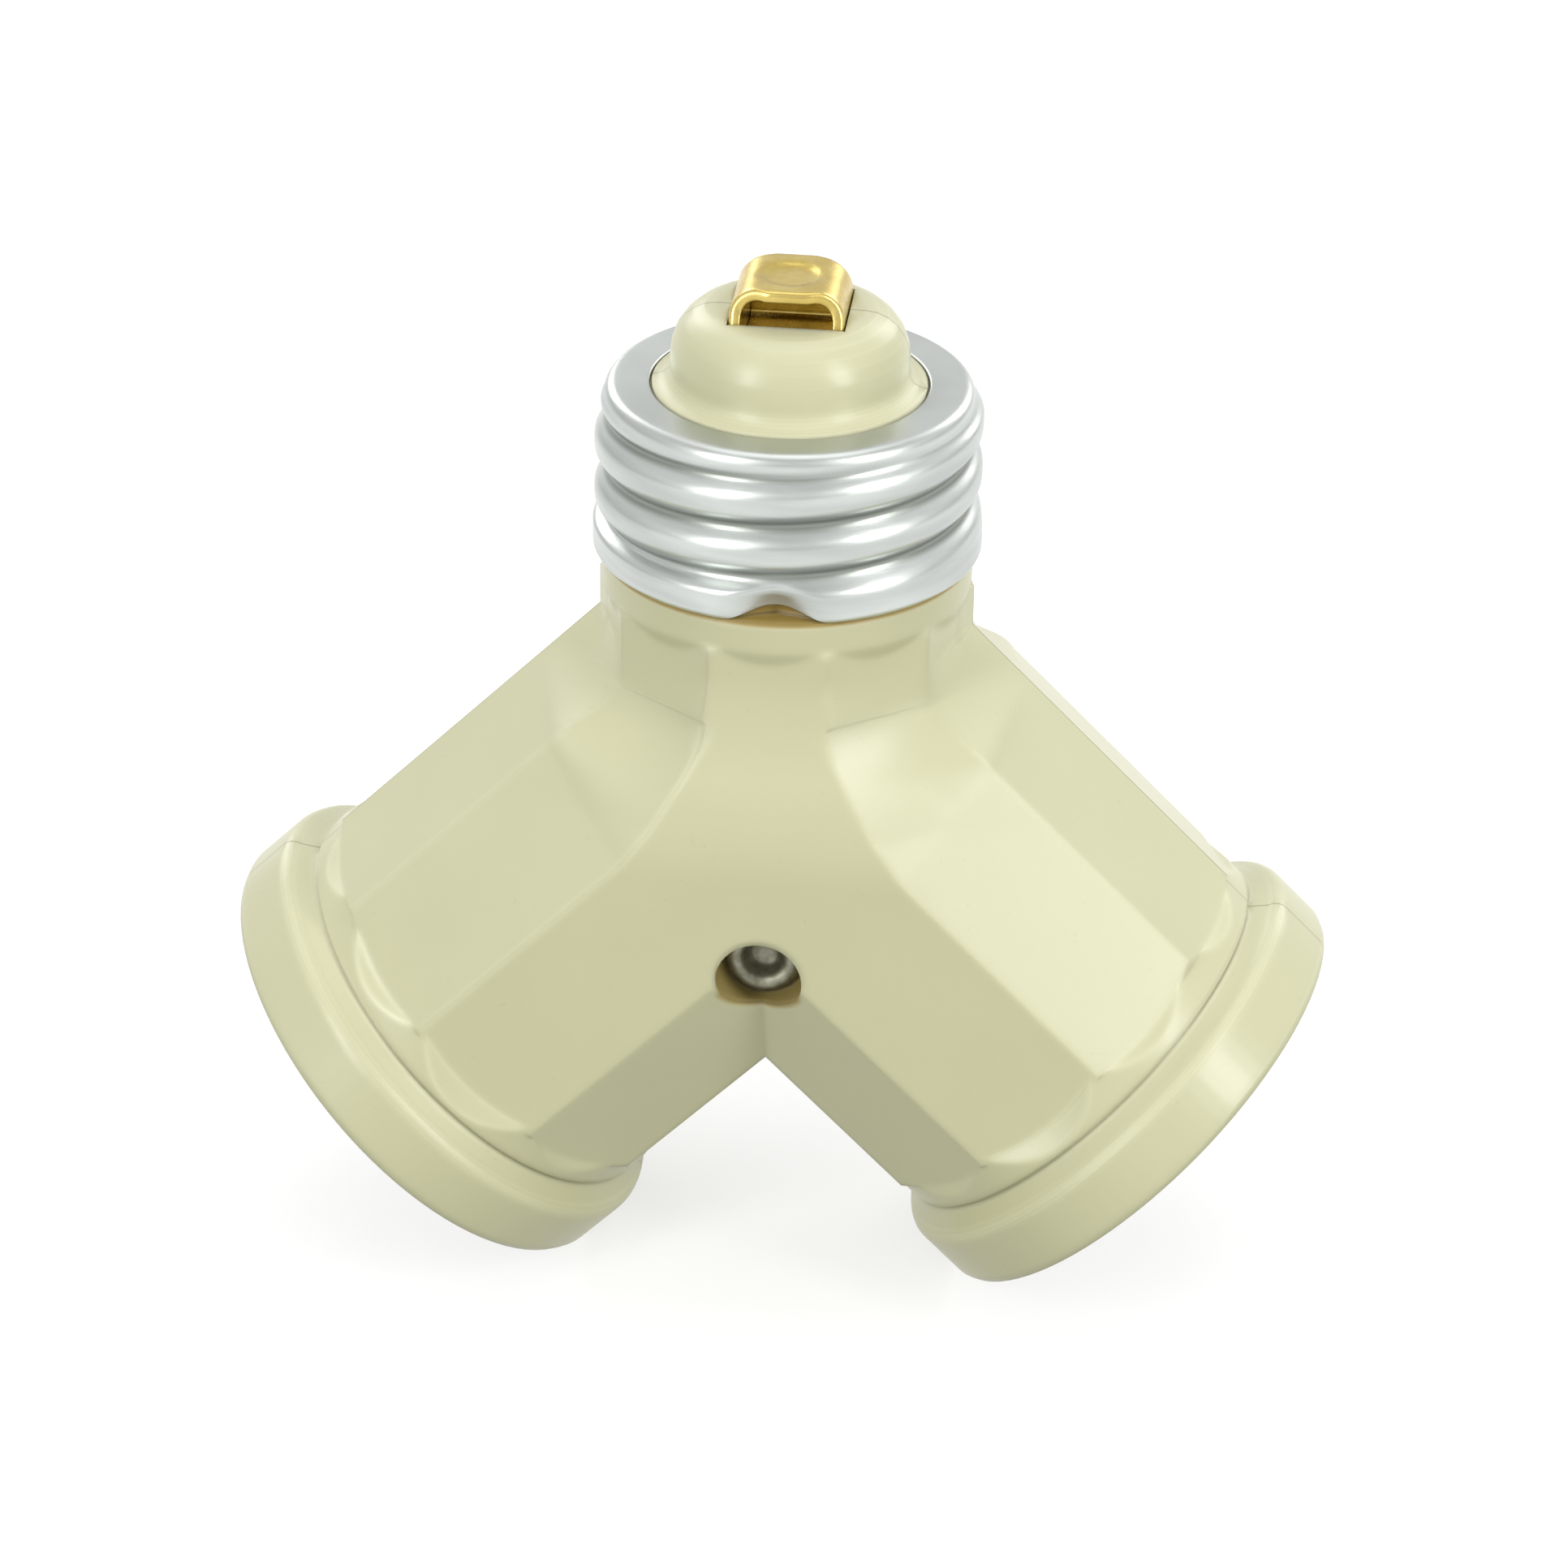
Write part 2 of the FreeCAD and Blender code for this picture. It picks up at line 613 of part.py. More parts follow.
def thread_wall(radius_at, low, high, steps, inwards):
    """A solid filled up to a threaded wall: rings through the wave, joined by straight strips."""
    rings = []
    around = 12
    for step in range(steps + 1):
        height = low + (high - low) * step / steps
        if step in (0, steps):
            ring = Part.Circle(Vector(0, 0, height), Vector(0, 0, 1), radius_at(0, height) - inwards)
            rings.append(Part.Wire([ring.toShape()]))
            continue
        points = []
        for k in range(around):
            angle = 2 * math.pi * k / around
            radius = radius_at(angle, height) - inwards
            points.append(Vector(radius * math.cos(angle), radius * math.sin(angle), height))
        curve = Part.BSplineCurve()
        curve.interpolate(Points=points, PeriodicFlag=True)
        rings.append(Part.Wire([curve.toShape()]))
    return Part.makeLoft(rings, True, True)


def plug_filled(inwards):
    """The plug shell as a filled block, its wall moved inwards."""
    half = size("plug_band_half")
    band = size("plug_band") - inwards
    low = -size("plug_edge_drop")
    top = size("plug_height")
    under = top - size("plug_top_round")
    thread = thread_wall(plug_radius, half, under, 13, inwards)
    curl = 0.25
    foot = spun([(0, low), (band - curl, low), (band, -half), (band, half), (0, half)])
    turns = 4
    bend = size("plug_top_round") - inwards
    centre = size("plug_top_radius") - size("plug_top_round")
    outline = []
    for turn in range(turns + 1):
        a = math.radians(90 * turn / turns)
        outline.append((centre + bend * math.cos(a), under + bend * math.sin(a)))
    cap = spun([(0, under)] + outline + [(0, under + bend)])
    filled = thread.fuse([foot, cap])
    crimp = crimp_wedge(inwards)
    behind = crimp.copy()
    behind.rotate(Vector(0, 0, 0), Vector(0, 0, 1), 180)
    return filled.cut([crimp, behind])


def plug_shell():
    top = size("plug_height")
    hole = Part.makeCylinder(size("plug_hole"), top, Vector(0, 0, top / 2))
    return plug_filled(0).cut([plug_filled(size("sheet")), hole])


# Centre contact: a leaf on the chamber floor that rises through the disc
def centre_leaf():
    t = size("chamber_floor") + size("strap_thick") + size("leaf_thick") / 2
    high = size("leaf_height") - size("leaf_thick") / 2
    line = [
        (-size("tab_end"), t),
        (size("tab_start") + 0.6, t),
        (size("tab_start") + 1.6, t + 1.6),
        (0.6, high - 0.5),
        (-1.6, high),
        (-3.2, high - 1.2),
    ]
    leaf = bent_sheet(line, size("leaf_thick"), size("leaf_width"), 0.6)
    hole = Part.makeCylinder(
        size("small_rivet_radius") + size("fit_gap"), 3, Vector(-size("contact_rivet_place"), 0, t - 1)
    )
    return leaf.cut(hole)


def drilled_strap():
    """The strap with its rivet holes and the dish in its top."""
    strap = tip_contact(0)
    floor = size("chamber_floor")
    deep = size("dish_depth")
    ball = (size("dish_radius") ** 2 + deep ** 2) / (2 * deep)
    top = size("crossing_drop") + size("plug_height") + size("strap_top")
    strap = strap.cut(Part.makeSphere(ball, Vector(0, 0, top - deep + ball)))
    hole = Part.makeCylinder(
        size("small_rivet_radius") + size("fit_gap"), 2, Vector(-size("contact_rivet_place"), 0, floor - 0.5)
    )
    return strap.cut([on_socket(hole, side) for side in TURN])


def drilled_link():
    floor = size("socket_floor")
    hole = Part.makeCylinder(
        size("small_rivet_radius") + size("fit_gap"), 2, Vector(size("link_rivet_place"), 0, floor - 1)
    )
    return neutral_link(0).cut(on_socket(hole, "left"))


# Build every piece
half = body_half()
made("body_front_half", half, CROSSING.format(turn=0))
made("body_back_half", half, CROSSING.format(turn=180))
made("plug_screw_shell", plug_shell(), "placement(vector(0; 0; 0); rotation(0; 0; 0))")
made("tip_contact_strap", drilled_strap(), CROSSING.format(turn=0))

head = "body_rivet_head"
seat = "(arm_depth - counterbore_depth)"
turned(
    "body_rivet",
    [
        ("0", f"-{seat} - 1.1"),
        ("body_rivet_head - 0.8", f"-{seat} - 1.1"),
        (head, f"-{seat} - 0.6"),
        (head, f"-{seat}"),
        ("body_rivet_radius", f"-{seat}"),
        ("body_rivet_radius", seat),
        (head, seat),
        (head, f"{seat} + 0.5"),
        ("body_rivet_head - 0.6", f"{seat} + 0.9"),
        ("body_rivet_head - 1.4", f"{seat} + 0.9"),
        ("body_rivet_head - 1.8", f"{seat} - 0.2"),
        ("0", f"{seat} - 0.4"),
    ],
    "placement(vector(0; 0; -sizes.crossing_drop - sizes.body_rivet_drop); rotation(0; 0; 90))",
)

for side, turn in TURN.items():
    place = SOCKET.format(turn=turn)
    disc_top = "socket_floor + disc_thick"
    bottom = f"{disc_top} + sheet"
    end = "mouth - mouth_depth"
    wall = "socket_major"
    skirt = "skirt_radius"
    shell = turned(
        f"socket_shell_{side}",
        [
            ("socket_hole", disc_top),
            (f"{wall} + sheet", disc_top),
            (f"{wall} + sheet", f"{end} - skirt_length - 0.6"),
            (f"{skirt} + sheet", f"{end} - skirt_length"),
            (f"{skirt} + sheet", end),
            (skirt, end),
            (skirt, f"{end} - skirt_length"),
            (wall, f"{end} - skirt_length - 0.6"),
            (wall, bottom),
            ("socket_hole", bottom),
        ],
        place,
    )
    drilled(shell, "link_rivet_place", "small_rivet_radius + fit_gap")
    disc = turned(
        f"socket_insulator_{side}",
        [
            ("disc_hole", "socket_floor"),
            ("disc_radius", "socket_floor"),
            ("disc_radius", disc_top),
            ("disc_hole", disc_top),
        ],
        place,
    )
    drilled(disc, "link_rivet_place", "small_rivet_radius + fit_gap")
    made(f"centre_contact_{side}", centre_leaf(), place)
    grip = "chamber_floor + strap_thick + leaf_thick"
    foot = "chamber_floor"
    turned(
        f"contact_rivet_{side}",
        [
            ("0", f"{foot} - small_rivet_high"),
            ("small_rivet_head", f"{foot} - small_rivet_high"),
            ("small_rivet_head", foot),
            ("small_rivet_radius", foot),
            ("small_rivet_radius", grip),
            ("small_rivet_head", grip),
            ("small_rivet_head", f"{grip} + small_rivet_high - 0.3"),
            ("small_rivet_head - 0.5", f"{grip} + small_rivet_high"),
            ("0", f"{grip} + small_rivet_high"),
        ],
        "placement(vector(0; 0; -sizes.crossing_drop); "
        f"rotation({turn}; 180 + sizes.arm_angle; 0)) * "
        "placement(vector(-sizes.contact_rivet_place; 0; 0); rotation(0; 0; 0))",
    )
    foot = "socket_floor - link_thick"
    turned(
        f"neutral_rivet_{side}",
        [
            ("0", f"{foot} - small_rivet_high"),
            ("small_rivet_head", f"{foot} - small_rivet_high"),
            ("small_rivet_head", foot),
            ("small_rivet_radius", foot),
            ("small_rivet_radius", bottom),
            ("small_rivet_head", bottom),
            ("small_rivet_head", f"{bottom} + small_rivet_high - 0.3"),
            ("small_rivet_head - 0.5", f"{bottom} + small_rivet_high"),
            ("0", f"{bottom} + small_rivet_high"),
        ],
        "placement(vector(0; 0; -sizes.crossing_drop); "
        f"rotation({turn}; 180 + sizes.arm_angle; 0)) * "
        "placement(vector(sizes.link_rivet_place; 0; 0); rotation(0; 0; 0))",
    )
    made(f"neutral_strap_{side}", drilled_link(), CROSSING.format(turn=turn))

doc.recompute()

# Check and write
SUB_PARTS = [
    "body_front_half", "body_back_half", "plug_screw_shell", "tip_contact_strap", "body_rivet",
    "socket_shell_left", "socket_shell_right", "socket_insulator_left", "socket_insulator_right",
    "centre_contact_left", "centre_contact_right", "contact_rivet_left", "contact_rivet_right",
    "neutral_strap_left", "neutral_strap_right", "neutral_rivet_left", "neutral_rivet_right",
]
for item in doc.Objects:
    if "Invalid" in item.State or "Error" in item.State:
        raise RuntimeError(f"{item.Name} did not build: {item.State}")
os.makedirs("parts", exist_ok=True)
for name in SUB_PARTS:
    shape = doc.getObject(name).Shape
    if shape.isNull() or not shape.isValid():
        raise RuntimeError(f"{name} has no valid shape")
    shape.exportStep(f"parts/{name}.step")
    print(name, len(shape.Solids), round(shape.Volume, 2))
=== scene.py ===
# %% [markdown]
# A twin lamp socket adapter, dressed for a studio photograph.
# The solids come from the construction model: a cream moulded body in two halves, a rolled aluminium
# screw shell, a brass tip contact and the parts inside the two sockets. This script gives them their
# finishes, makes the screw threads fine enough for a close look, and sets the light and the camera.
# Each code cell prints what it made. Shapes are worked out in millimetres, as on a drawing, and become
# Blender's metres once a piece is set in its place.

import math

import bmesh
import bpy
import numpy as np
from mathutils import Matrix, Vector


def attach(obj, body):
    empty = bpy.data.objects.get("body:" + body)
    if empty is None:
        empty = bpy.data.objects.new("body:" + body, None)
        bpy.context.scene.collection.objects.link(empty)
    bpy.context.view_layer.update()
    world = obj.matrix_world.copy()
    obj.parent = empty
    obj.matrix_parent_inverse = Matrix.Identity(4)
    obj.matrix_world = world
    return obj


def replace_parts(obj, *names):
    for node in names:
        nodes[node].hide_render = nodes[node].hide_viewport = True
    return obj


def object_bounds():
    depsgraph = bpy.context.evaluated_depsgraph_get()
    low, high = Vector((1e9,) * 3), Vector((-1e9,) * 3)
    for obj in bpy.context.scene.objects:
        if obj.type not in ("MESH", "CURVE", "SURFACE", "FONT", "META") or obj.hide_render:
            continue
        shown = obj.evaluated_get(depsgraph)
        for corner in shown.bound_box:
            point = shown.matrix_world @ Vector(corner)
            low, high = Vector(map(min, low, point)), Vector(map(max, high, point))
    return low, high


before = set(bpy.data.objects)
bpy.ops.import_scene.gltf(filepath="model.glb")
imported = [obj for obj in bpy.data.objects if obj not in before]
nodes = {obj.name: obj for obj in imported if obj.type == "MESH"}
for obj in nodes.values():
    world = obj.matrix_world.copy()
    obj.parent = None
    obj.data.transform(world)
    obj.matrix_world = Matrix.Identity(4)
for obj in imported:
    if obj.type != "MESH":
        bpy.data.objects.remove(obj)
solid_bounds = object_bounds()
print("solids:", len(nodes), "bounds:", [tuple(round(c, 4) for c in corner) for corner in solid_bounds])

# %% [markdown]
# The drawing counts heights from the point where the axes of the plug and of the two sockets cross. In the
# shared frame that point lies below the shell's lower edge. Its height is kept as one number, so that a
# height from the drawing can be written as it stands there.

# %% Units and the crossing of the axes
MM = 0.001
CROSSING_Z = -16.9
CROSSING = Matrix.Translation((0.0, 0.0, CROSSING_Z))
RIVET_Z = CROSSING_Z - 10.1
print("axes cross at z", CROSSING_Z, "mm, the body's rivet lies at z", round(RIVET_Z, 3), "mm")

# %% [markdown]
# Node trees are easier to read as sums than as boxes and wires. They could be wired one link at a time.
# Here one small class wraps a socket instead, so that an expression such as 1 - mask * 0.5 adds its Math
# nodes by itself, and a finish reads like a formula.


# %% Sockets that can be added and multiplied
class Socket:
    """An output of a node tree that takes part in sums."""

    def __init__(self, tree, output):
        self.tree = tree
        self.output = output

    def sum(self, operation, first, second=None, third=None):
        made = self.tree.nodes.new("ShaderNodeMath")
        made.operation = operation
        for entry, value in zip(made.inputs, (first, second, third)):
            if isinstance(value, Socket):
                self.tree.links.new(value.output, entry)
            elif value is not None:
                entry.default_value = value
        return Socket(self.tree, made.outputs[0])

    def __add__(self, other):
        return self.sum("ADD", self, other)

    def __radd__(self, other):
        return self.sum("ADD", other, self)

    def __sub__(self, other):
        return self.sum("SUBTRACT", self, other)

    def __rsub__(self, other):
        return self.sum("SUBTRACT", other, self)

    def __mul__(self, other):
        return self.sum("MULTIPLY", self, other)

    def __rmul__(self, other):
        return self.sum("MULTIPLY", other, self)

    def __truediv__(self, other):
        return self.sum("DIVIDE", self, other)

    def __rtruediv__(self, other):
        return self.sum("DIVIDE", other, self)

    def __pow__(self, other):
        return self.sum("POWER", self, other)

    def at_least(self, other):
        return self.sum("MAXIMUM", self, other)

    def sine(self):
        return self.sum("SINE", self)

    def cosine(self):
        return self.sum("COSINE", self)

    def root(self):
        return self.sum("SQRT", self)

    def size(self):
        return self.sum("ABSOLUTE", self)

    def sign(self):
        return self.sum("SIGN", self)

    def step_up(self, low, high):
        """0 below low, 1 above high, smooth between."""
        made = self.tree.nodes.new("ShaderNodeMapRange")
        made.interpolation_type = "SMOOTHSTEP"
        self.tree.links.new(self.output, made.inputs["Value"])
        made.inputs["From Min"].default_value = low
        made.inputs["From Max"].default_value = high
        return Socket(self.tree, made.outputs["Result"])


print("helper ready: Socket")

# %% [markdown]
# Every other node comes from one method. It takes the kind of node, its settings, which have to be set
# before the inputs because they can change them, and then the values or links of the inputs by name.


# %% One method for every other node
class Maker:
    """Adds nodes to one tree: kind, settings first, then values or links of the inputs."""

    def __init__(self, tree):
        self.tree = tree

    def node(self, kind, settings=None, **inputs):
        made = self.tree.nodes.new(kind)
        for name, value in (settings or {}).items():
            if name == "stops":
                ramp = made.color_ramp.elements
                while len(ramp) < len(value):
                    ramp.new(0.5)
                for element, (place, colour) in zip(ramp, value):
                    element.position = place
                    element.color = colour
            else:
                setattr(made, name, value)
        for name, value in inputs.items():
            entry = made.inputs[int(name[1:]) if name[0] == "_" else name.replace("_", " ")]
            if isinstance(value, Socket):
                self.tree.links.new(value.output, entry)
            else:
                entry.default_value = value
        return made

    def take(self, made, output=0):
        return Socket(self.tree, made.outputs[output])


print("helper ready: Maker")

# %% [markdown]
# The finishes share one start: a Principled shader and the object's own coordinates. Generated coordinates
# would stretch with the piece's box, so Object coordinates are taken and turned into millimetres. Sizes in
# a pattern are then plain millimetres, the same on every piece.


# %% Start of a finish
def new_finish(name):
    material = bpy.data.materials.new(name)
    material.use_nodes = True
    tree = material.node_tree
    shader = [n for n in tree.nodes if n.type == "BSDF_PRINCIPLED"][0]
    return material, Maker(tree), shader


def place_in_mm(make):
    place = make.take(make.node("ShaderNodeTexCoord"), "Object")
    scaled = make.node("ShaderNodeVectorMath", {"operation": "SCALE"}, Vector=place)
    scaled.inputs["Scale"].default_value = 1 / MM
    return make.take(scaled)


def axes_of(make, place):
    split = make.node("ShaderNodeSeparateXYZ", None, _0=place)
    return make.take(split, 0), make.take(split, 1), make.take(split, 2)


print("a finish starts with a shader and places in millimetres")

# %% [markdown]
# Real surfaces are never even. Noise makes the clouds, specks and marks in them. It could come from a
# picture, but a noise node has no seams and no end. A Mix node blends two colours by it, because a Math
# node would turn a colour grey.


# %% Clouds and mixes
def cloud(make, place, grain_mm, detail=3.0, stretch=None):
    """Noise from 0 to 1 whose patches are about grain_mm wide."""
    if stretch:
        mapped = make.node("ShaderNodeMapping", None, Vector=place, Scale=stretch)
        place = make.take(mapped)
    noise = make.node("ShaderNodeTexNoise", None, Vector=place, Scale=1.0 / grain_mm, Detail=detail)
    return make.take(noise, "Fac" if "Fac" in noise.outputs else 0)


def colour_between(make, share, first, second):
    """first and second are colours or outputs that carry one."""
    mixed = make.node("ShaderNodeMix", {"data_type": "RGBA"}, _0=share)
    for entry, colour in ((mixed.inputs[6], first), (mixed.inputs[7], second)):
        if isinstance(colour, Socket):
            make.tree.links.new(colour.output, entry)
        else:
            entry.default_value = (*colour, 1.0)
    return make.take(mixed, 2)


def link(make, value, entry):
    make.tree.links.new(value.output, entry)


print("helpers ready: cloud, colour_between, link")

# %% [markdown]
# Every edge of a moulding is slightly round. Real rounds would add thousands of faces, so the Bevel node
# rounds the edges in the shading only, and the solids keep their exact form. Its radius shrinks towards
# the seam between the halves, which stays a fine dark line, and grows where the arms leave the neck.
# The edges that face up also get a painted highlight, a paler colour than the flats. Such an edge is found
# where the rounded normal turns away from the flat one.

# %% Edges of the moulding
NECK_ROOT_Z = -8.6
SMALLEST_ROUND, EDGE_ROUND, ROOT_ROUND = 0.10, 0.75, 1.1


def rounded_normal(make, y, root):
    from_seam = y.size()
    radius = SMALLEST_ROUND + from_seam.step_up(0.0, 1.3) * EDGE_ROUND
    radius = (radius + root * from_seam.step_up(1.0, 4.0) * ROOT_ROUND) * MM
    return make.take(make.node("ShaderNodeBevel", {"samples": 4}, Radius=radius))


# Painted highlight: a paler colour where the rounded normal turns away from the flat one, on edges that face
# up.
def painted_edge_highlight(make, rounded, root):
    facing = make.take(make.node("ShaderNodeNewGeometry"), "True Normal")
    turned = make.node("ShaderNodeVectorMath", {"operation": "DOT_PRODUCT"}, _0=rounded, _1=facing)
    bent = (1 - make.take(turned, "Value")).step_up(0.010, 0.045)
    up = axes_of(make, rounded)[2]
    return bent * up.step_up(-0.02, 0.16) * (1 - root * 0.7)


print("rounds of", SMALLEST_ROUND, "mm at the seam to", SMALLEST_ROUND + EDGE_ROUND, "mm on the edges")

# %% [markdown]
# A dark warm shade is painted into the colour where the moulding lies in shade: on the lip under the screw
# shell, in the dents behind its crimps and in the rivet's seat. Light that goes through the cream and comes
# back could make such warm shade, but light scattering below the surface is slow and is lost in the export.
# A mask for each place, worked out from its radius and height, paints the shade instead.

# %% Painted warm shade on the moulding
LIP_Z, SEAT_RADIUS, SEAT_FACE = -1.25, 3.0, 15.2


# Painted shade: a dark warm tone on the lip under the screw shell and in the crimp dents.
def painted_shade_lip(x, y, z):
    across = (x * x + y * y).root()
    lip = 1 - (z - LIP_Z).size().step_up(0.08, 0.40)
    dent = (1 - across.step_up(12.1, 12.5)) * z.step_up(-2.9, -2.6) * (1 - z.step_up(-0.5, 0.5))
    return lip.at_least(dent)


# Painted shade: a dark warm tone inside the rivet's seat.
def painted_shade_seat(x, y, z):
    from_rivet = (x * x + (z - RIVET_Z) * (z - RIVET_Z)).root()
    inside = 1 - from_rivet.step_up(SEAT_RADIUS, SEAT_RADIUS + 0.5)
    return inside * (1 - y.size().step_up(SEAT_FACE - 0.6, SEAT_FACE))


print("warm shades at the lip, z", LIP_Z, "mm, and inside the seat's radius of", SEAT_RADIUS, "mm")

# %% [markdown]
# The body is a hard, glossy moulding in a cream with a trace of green. One flat colour would look like
# paint on a screen, so two close tones drift into each other in broad patches, and a few specks show. Each
# layer of tone is mixed over the last one. A shallow wave in the surface breaks up the reflections.


# %% Cream moulding
def cream_finish():
    material, make, shader = new_finish("cream_moulding")
    place = place_in_mm(make)
    x, y, z = axes_of(make, place)
    root = 1 - (z - NECK_ROOT_Z).size().step_up(0.8, 3.2)
    rounded = rounded_normal(make, y, root)
    patches = cloud(make, place, 9.0, 2.0)
    specks = cloud(make, place, 0.55, 2.0).step_up(0.70, 0.76)
    seam = 1 - y.size().step_up(0.02, 0.10)
    tone = colour_between(make, patches, (0.462, 0.456, 0.294), (0.490, 0.484, 0.315))
    layers = [
        (specks * 0.14, (0.32, 0.29, 0.15)),
        # painted highlight on the edges that face up
        (painted_edge_highlight(make, rounded, root) * 0.48, (0.68, 0.67, 0.47)),
        (seam * 0.6, (0.16, 0.145, 0.06)),
        # painted shade: a dark warm tone on the lip under the shell, in the crimp dents and in the rivet's
        # seat
        (painted_shade_lip(x, y, z) * 0.85, (0.30, 0.19, 0.02)),
        (painted_shade_seat(x, y, z) * 0.75, (0.27, 0.18, 0.015)),
    ]
    for share, tint in layers:
        tone = colour_between(make, share, tone, tint)
    link(make, tone, shader.inputs["Base Color"])
    link(make, 0.27 + patches * 0.08, shader.inputs["Roughness"])
    shader.inputs["IOR"].default_value = 1.5
    wave = cloud(make, place, 5.0, 2.0) + cloud(make, place, 0.9, 2.0) * 0.10
    bump = make.node("ShaderNodeBump", None, Strength=0.25, Distance=0.09 * MM, Height=wave)
    link(make, rounded, bump.inputs["Normal"])
    link(make, make.take(bump), shader.inputs["Normal"])
    return material


cream = cream_finish()
print("made", cream.name, "with", len(cream.node_tree.nodes), "nodes")

# %% [markdown]
# The metals are rolled aluminium sheet with fine marks that run round the shell, stamped brass that has
# darkened in patches, and steel for the rivets. They could be three separate materials. One function with
# its tones, grain and roughness as arguments keeps them alike, as one workshop's metals are. The plug's
# aluminium gets a painted shade towards the smaller radius, in the valleys of its thread.


# %% Finish of the metals
# Mask of the painted shade in the thread's valleys: towards the smaller radius, on the threaded heights.
def painted_valley_shade(make, place, radii):
    x, y, z = axes_of(make, place)
    radius = (x * x + y * y).root()
    return (1 - radius.step_up(*radii)) * z.step_up(1.2, 2.2) * (1 - z.step_up(9.0, 10.0))


def metal_finish(name, light, dark, grain_mm, roughness, stretch=None, marks_mm=0.03, valleys=None):
    material, make, shader = new_finish(name)
    place = place_in_mm(make)
    patches = cloud(make, place, grain_mm, 3.0, stretch)
    fine = cloud(make, place, 0.35, 2.0, stretch)
    tone = colour_between(make, patches.step_up(0.3, 0.7), light, dark)
    # painted shade: a dark colour in the valleys of the plug's thread
    if valleys:
        tone = colour_between(make, painted_valley_shade(make, place, valleys) * 0.7, tone, (0.13, 0.145, 0.115))
    link(make, tone, shader.inputs["Base Color"])
    link(make, roughness + fine * 0.10 + patches * 0.06, shader.inputs["Roughness"])
    shader.inputs["Metallic"].default_value = 1.0
    bump = make.node("ShaderNodeBump", None, Strength=0.2, Distance=marks_mm * MM, Height=fine)
    link(make, make.take(bump), shader.inputs["Normal"])
    return material


ROUND_THE_SHELL = (0.35, 0.35, 3.0)
plug_aluminium = metal_finish(
    "rolled_aluminium_plug", (0.57, 0.60, 0.575), (0.47, 0.495, 0.475), 4.0, 0.26,
    ROUND_THE_SHELL, valleys=(12.25, 12.60))
aluminium = metal_finish(
    "rolled_aluminium", (0.80, 0.81, 0.79), (0.70, 0.71, 0.69), 4.0, 0.20, ROUND_THE_SHELL)
brass = metal_finish("stamped_brass", (0.66, 0.52, 0.175), (0.56, 0.425, 0.12), 1.6, 0.20)
steel = metal_finish("plated_steel", (0.62, 0.60, 0.53), (0.42, 0.40, 0.33), 1.2, 0.26)
dull_steel = metal_finish(
    "dull_rolled_steel", (0.31, 0.305, 0.24), (0.20, 0.195, 0.14), 0.8, 0.42, marks_mm=0.05)
print("made", ", ".join(metal.name for metal in (plug_aluminium, aluminium, brass, steel, dull_steel)))

# %% [markdown]
# The discs under the socket shells are pressed fibre, a dull brown board that stands heat and holds the
# current off. A brown colour alone would look like plastic. Fine noise gives its short strands, and the
# same noise lifts them a little.


# %% Pressed fibre
def fibre_finish():
    material, make, shader = new_finish("pressed_fibre")
    place = place_in_mm(make)
    strands = cloud(make, place, 0.5, 4.0)
    tone = colour_between(make, strands, (0.20, 0.085, 0.035), (0.36, 0.17, 0.08))
    link(make, tone, shader.inputs["Base Color"])
    link(make, 0.55 + strands * 0.2, shader.inputs["Roughness"])
    bump = make.node("ShaderNodeBump", None, Strength=0.4, Distance=0.05 * MM, Height=strands)
    link(make, make.take(bump), shader.inputs["Normal"])
    return material


fibre = fibre_finish()
print("made", fibre.name)

# %% [markdown]
# Each solid gets the finish of what it is made of. The finishes could be set one by one. The solids' names
# say what they are, so one table from the start of a name to a finish does it, and every rivet is steel.

# %% Give each solid its finish
FINISH = {
    "body": cream,
    "plug_screw": plug_aluminium,
    "socket_shell": aluminium,
    "tip_contact": brass,
    "centre_contact": brass,
    "neutral_strap": brass,
    "socket_insulator": fibre,
}
for name, solid in nodes.items():
    chosen = steel
    for start, material in FINISH.items():
        if name.startswith(start) and "rivet" not in name:
            chosen = material
    solid.data.materials.clear()
    solid.data.materials.append(chosen)
    print(name, "->", chosen.name)

# %% [markdown]
# Some solids get a finer piece in their place. A new mesh has its doubles merged and its normals turned
# outwards, because a shape that is swung or mirrored can come out inside out. Then it is set in its place
# in the mesh itself, so that its object stays at the origin, as the solids' objects do.


# %% Setting a piece in its place
def face_outwards(mesh):
    work = bmesh.new()
    work.from_mesh(mesh)
    bmesh.ops.remove_doubles(work, verts=work.verts, dist=1e-5)
    bmesh.ops.recalc_face_normals(work, faces=work.faces)
    work.to_mesh(mesh)
    work.free()


def new_piece(mesh, name, place, finish):
    """The finished mesh goes from millimetres to metres at its place, and rides the one body."""
    mesh.transform(Matrix.Scale(MM, 4) @ place)
    mesh.name = name
    mesh.materials.clear()
    mesh.materials.append(finish)
    piece = bpy.data.objects.new(name, mesh)
    bpy.context.scene.collection.objects.link(piece)
    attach(piece, "root")
    return piece


def in_place(mesh, name, place, finish, *solids):
    """A piece that stands in for its solids."""
    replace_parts(new_piece(mesh, name, place, finish), *solids)
    print(name, len(mesh.polygons), "faces in place of", ", ".join(solids))


print("helpers ready: face_outwards, new_piece, in_place")

# %% [markdown]
# The front and back panels swing out from the neck to the arms in one soft curve, in depth and along both
# of their sides. The solids say it with three straight runs. These lines give the straight runs, and a
# parabola for each of the two bends. A parabola is the plainest curve that touches both of its sides.

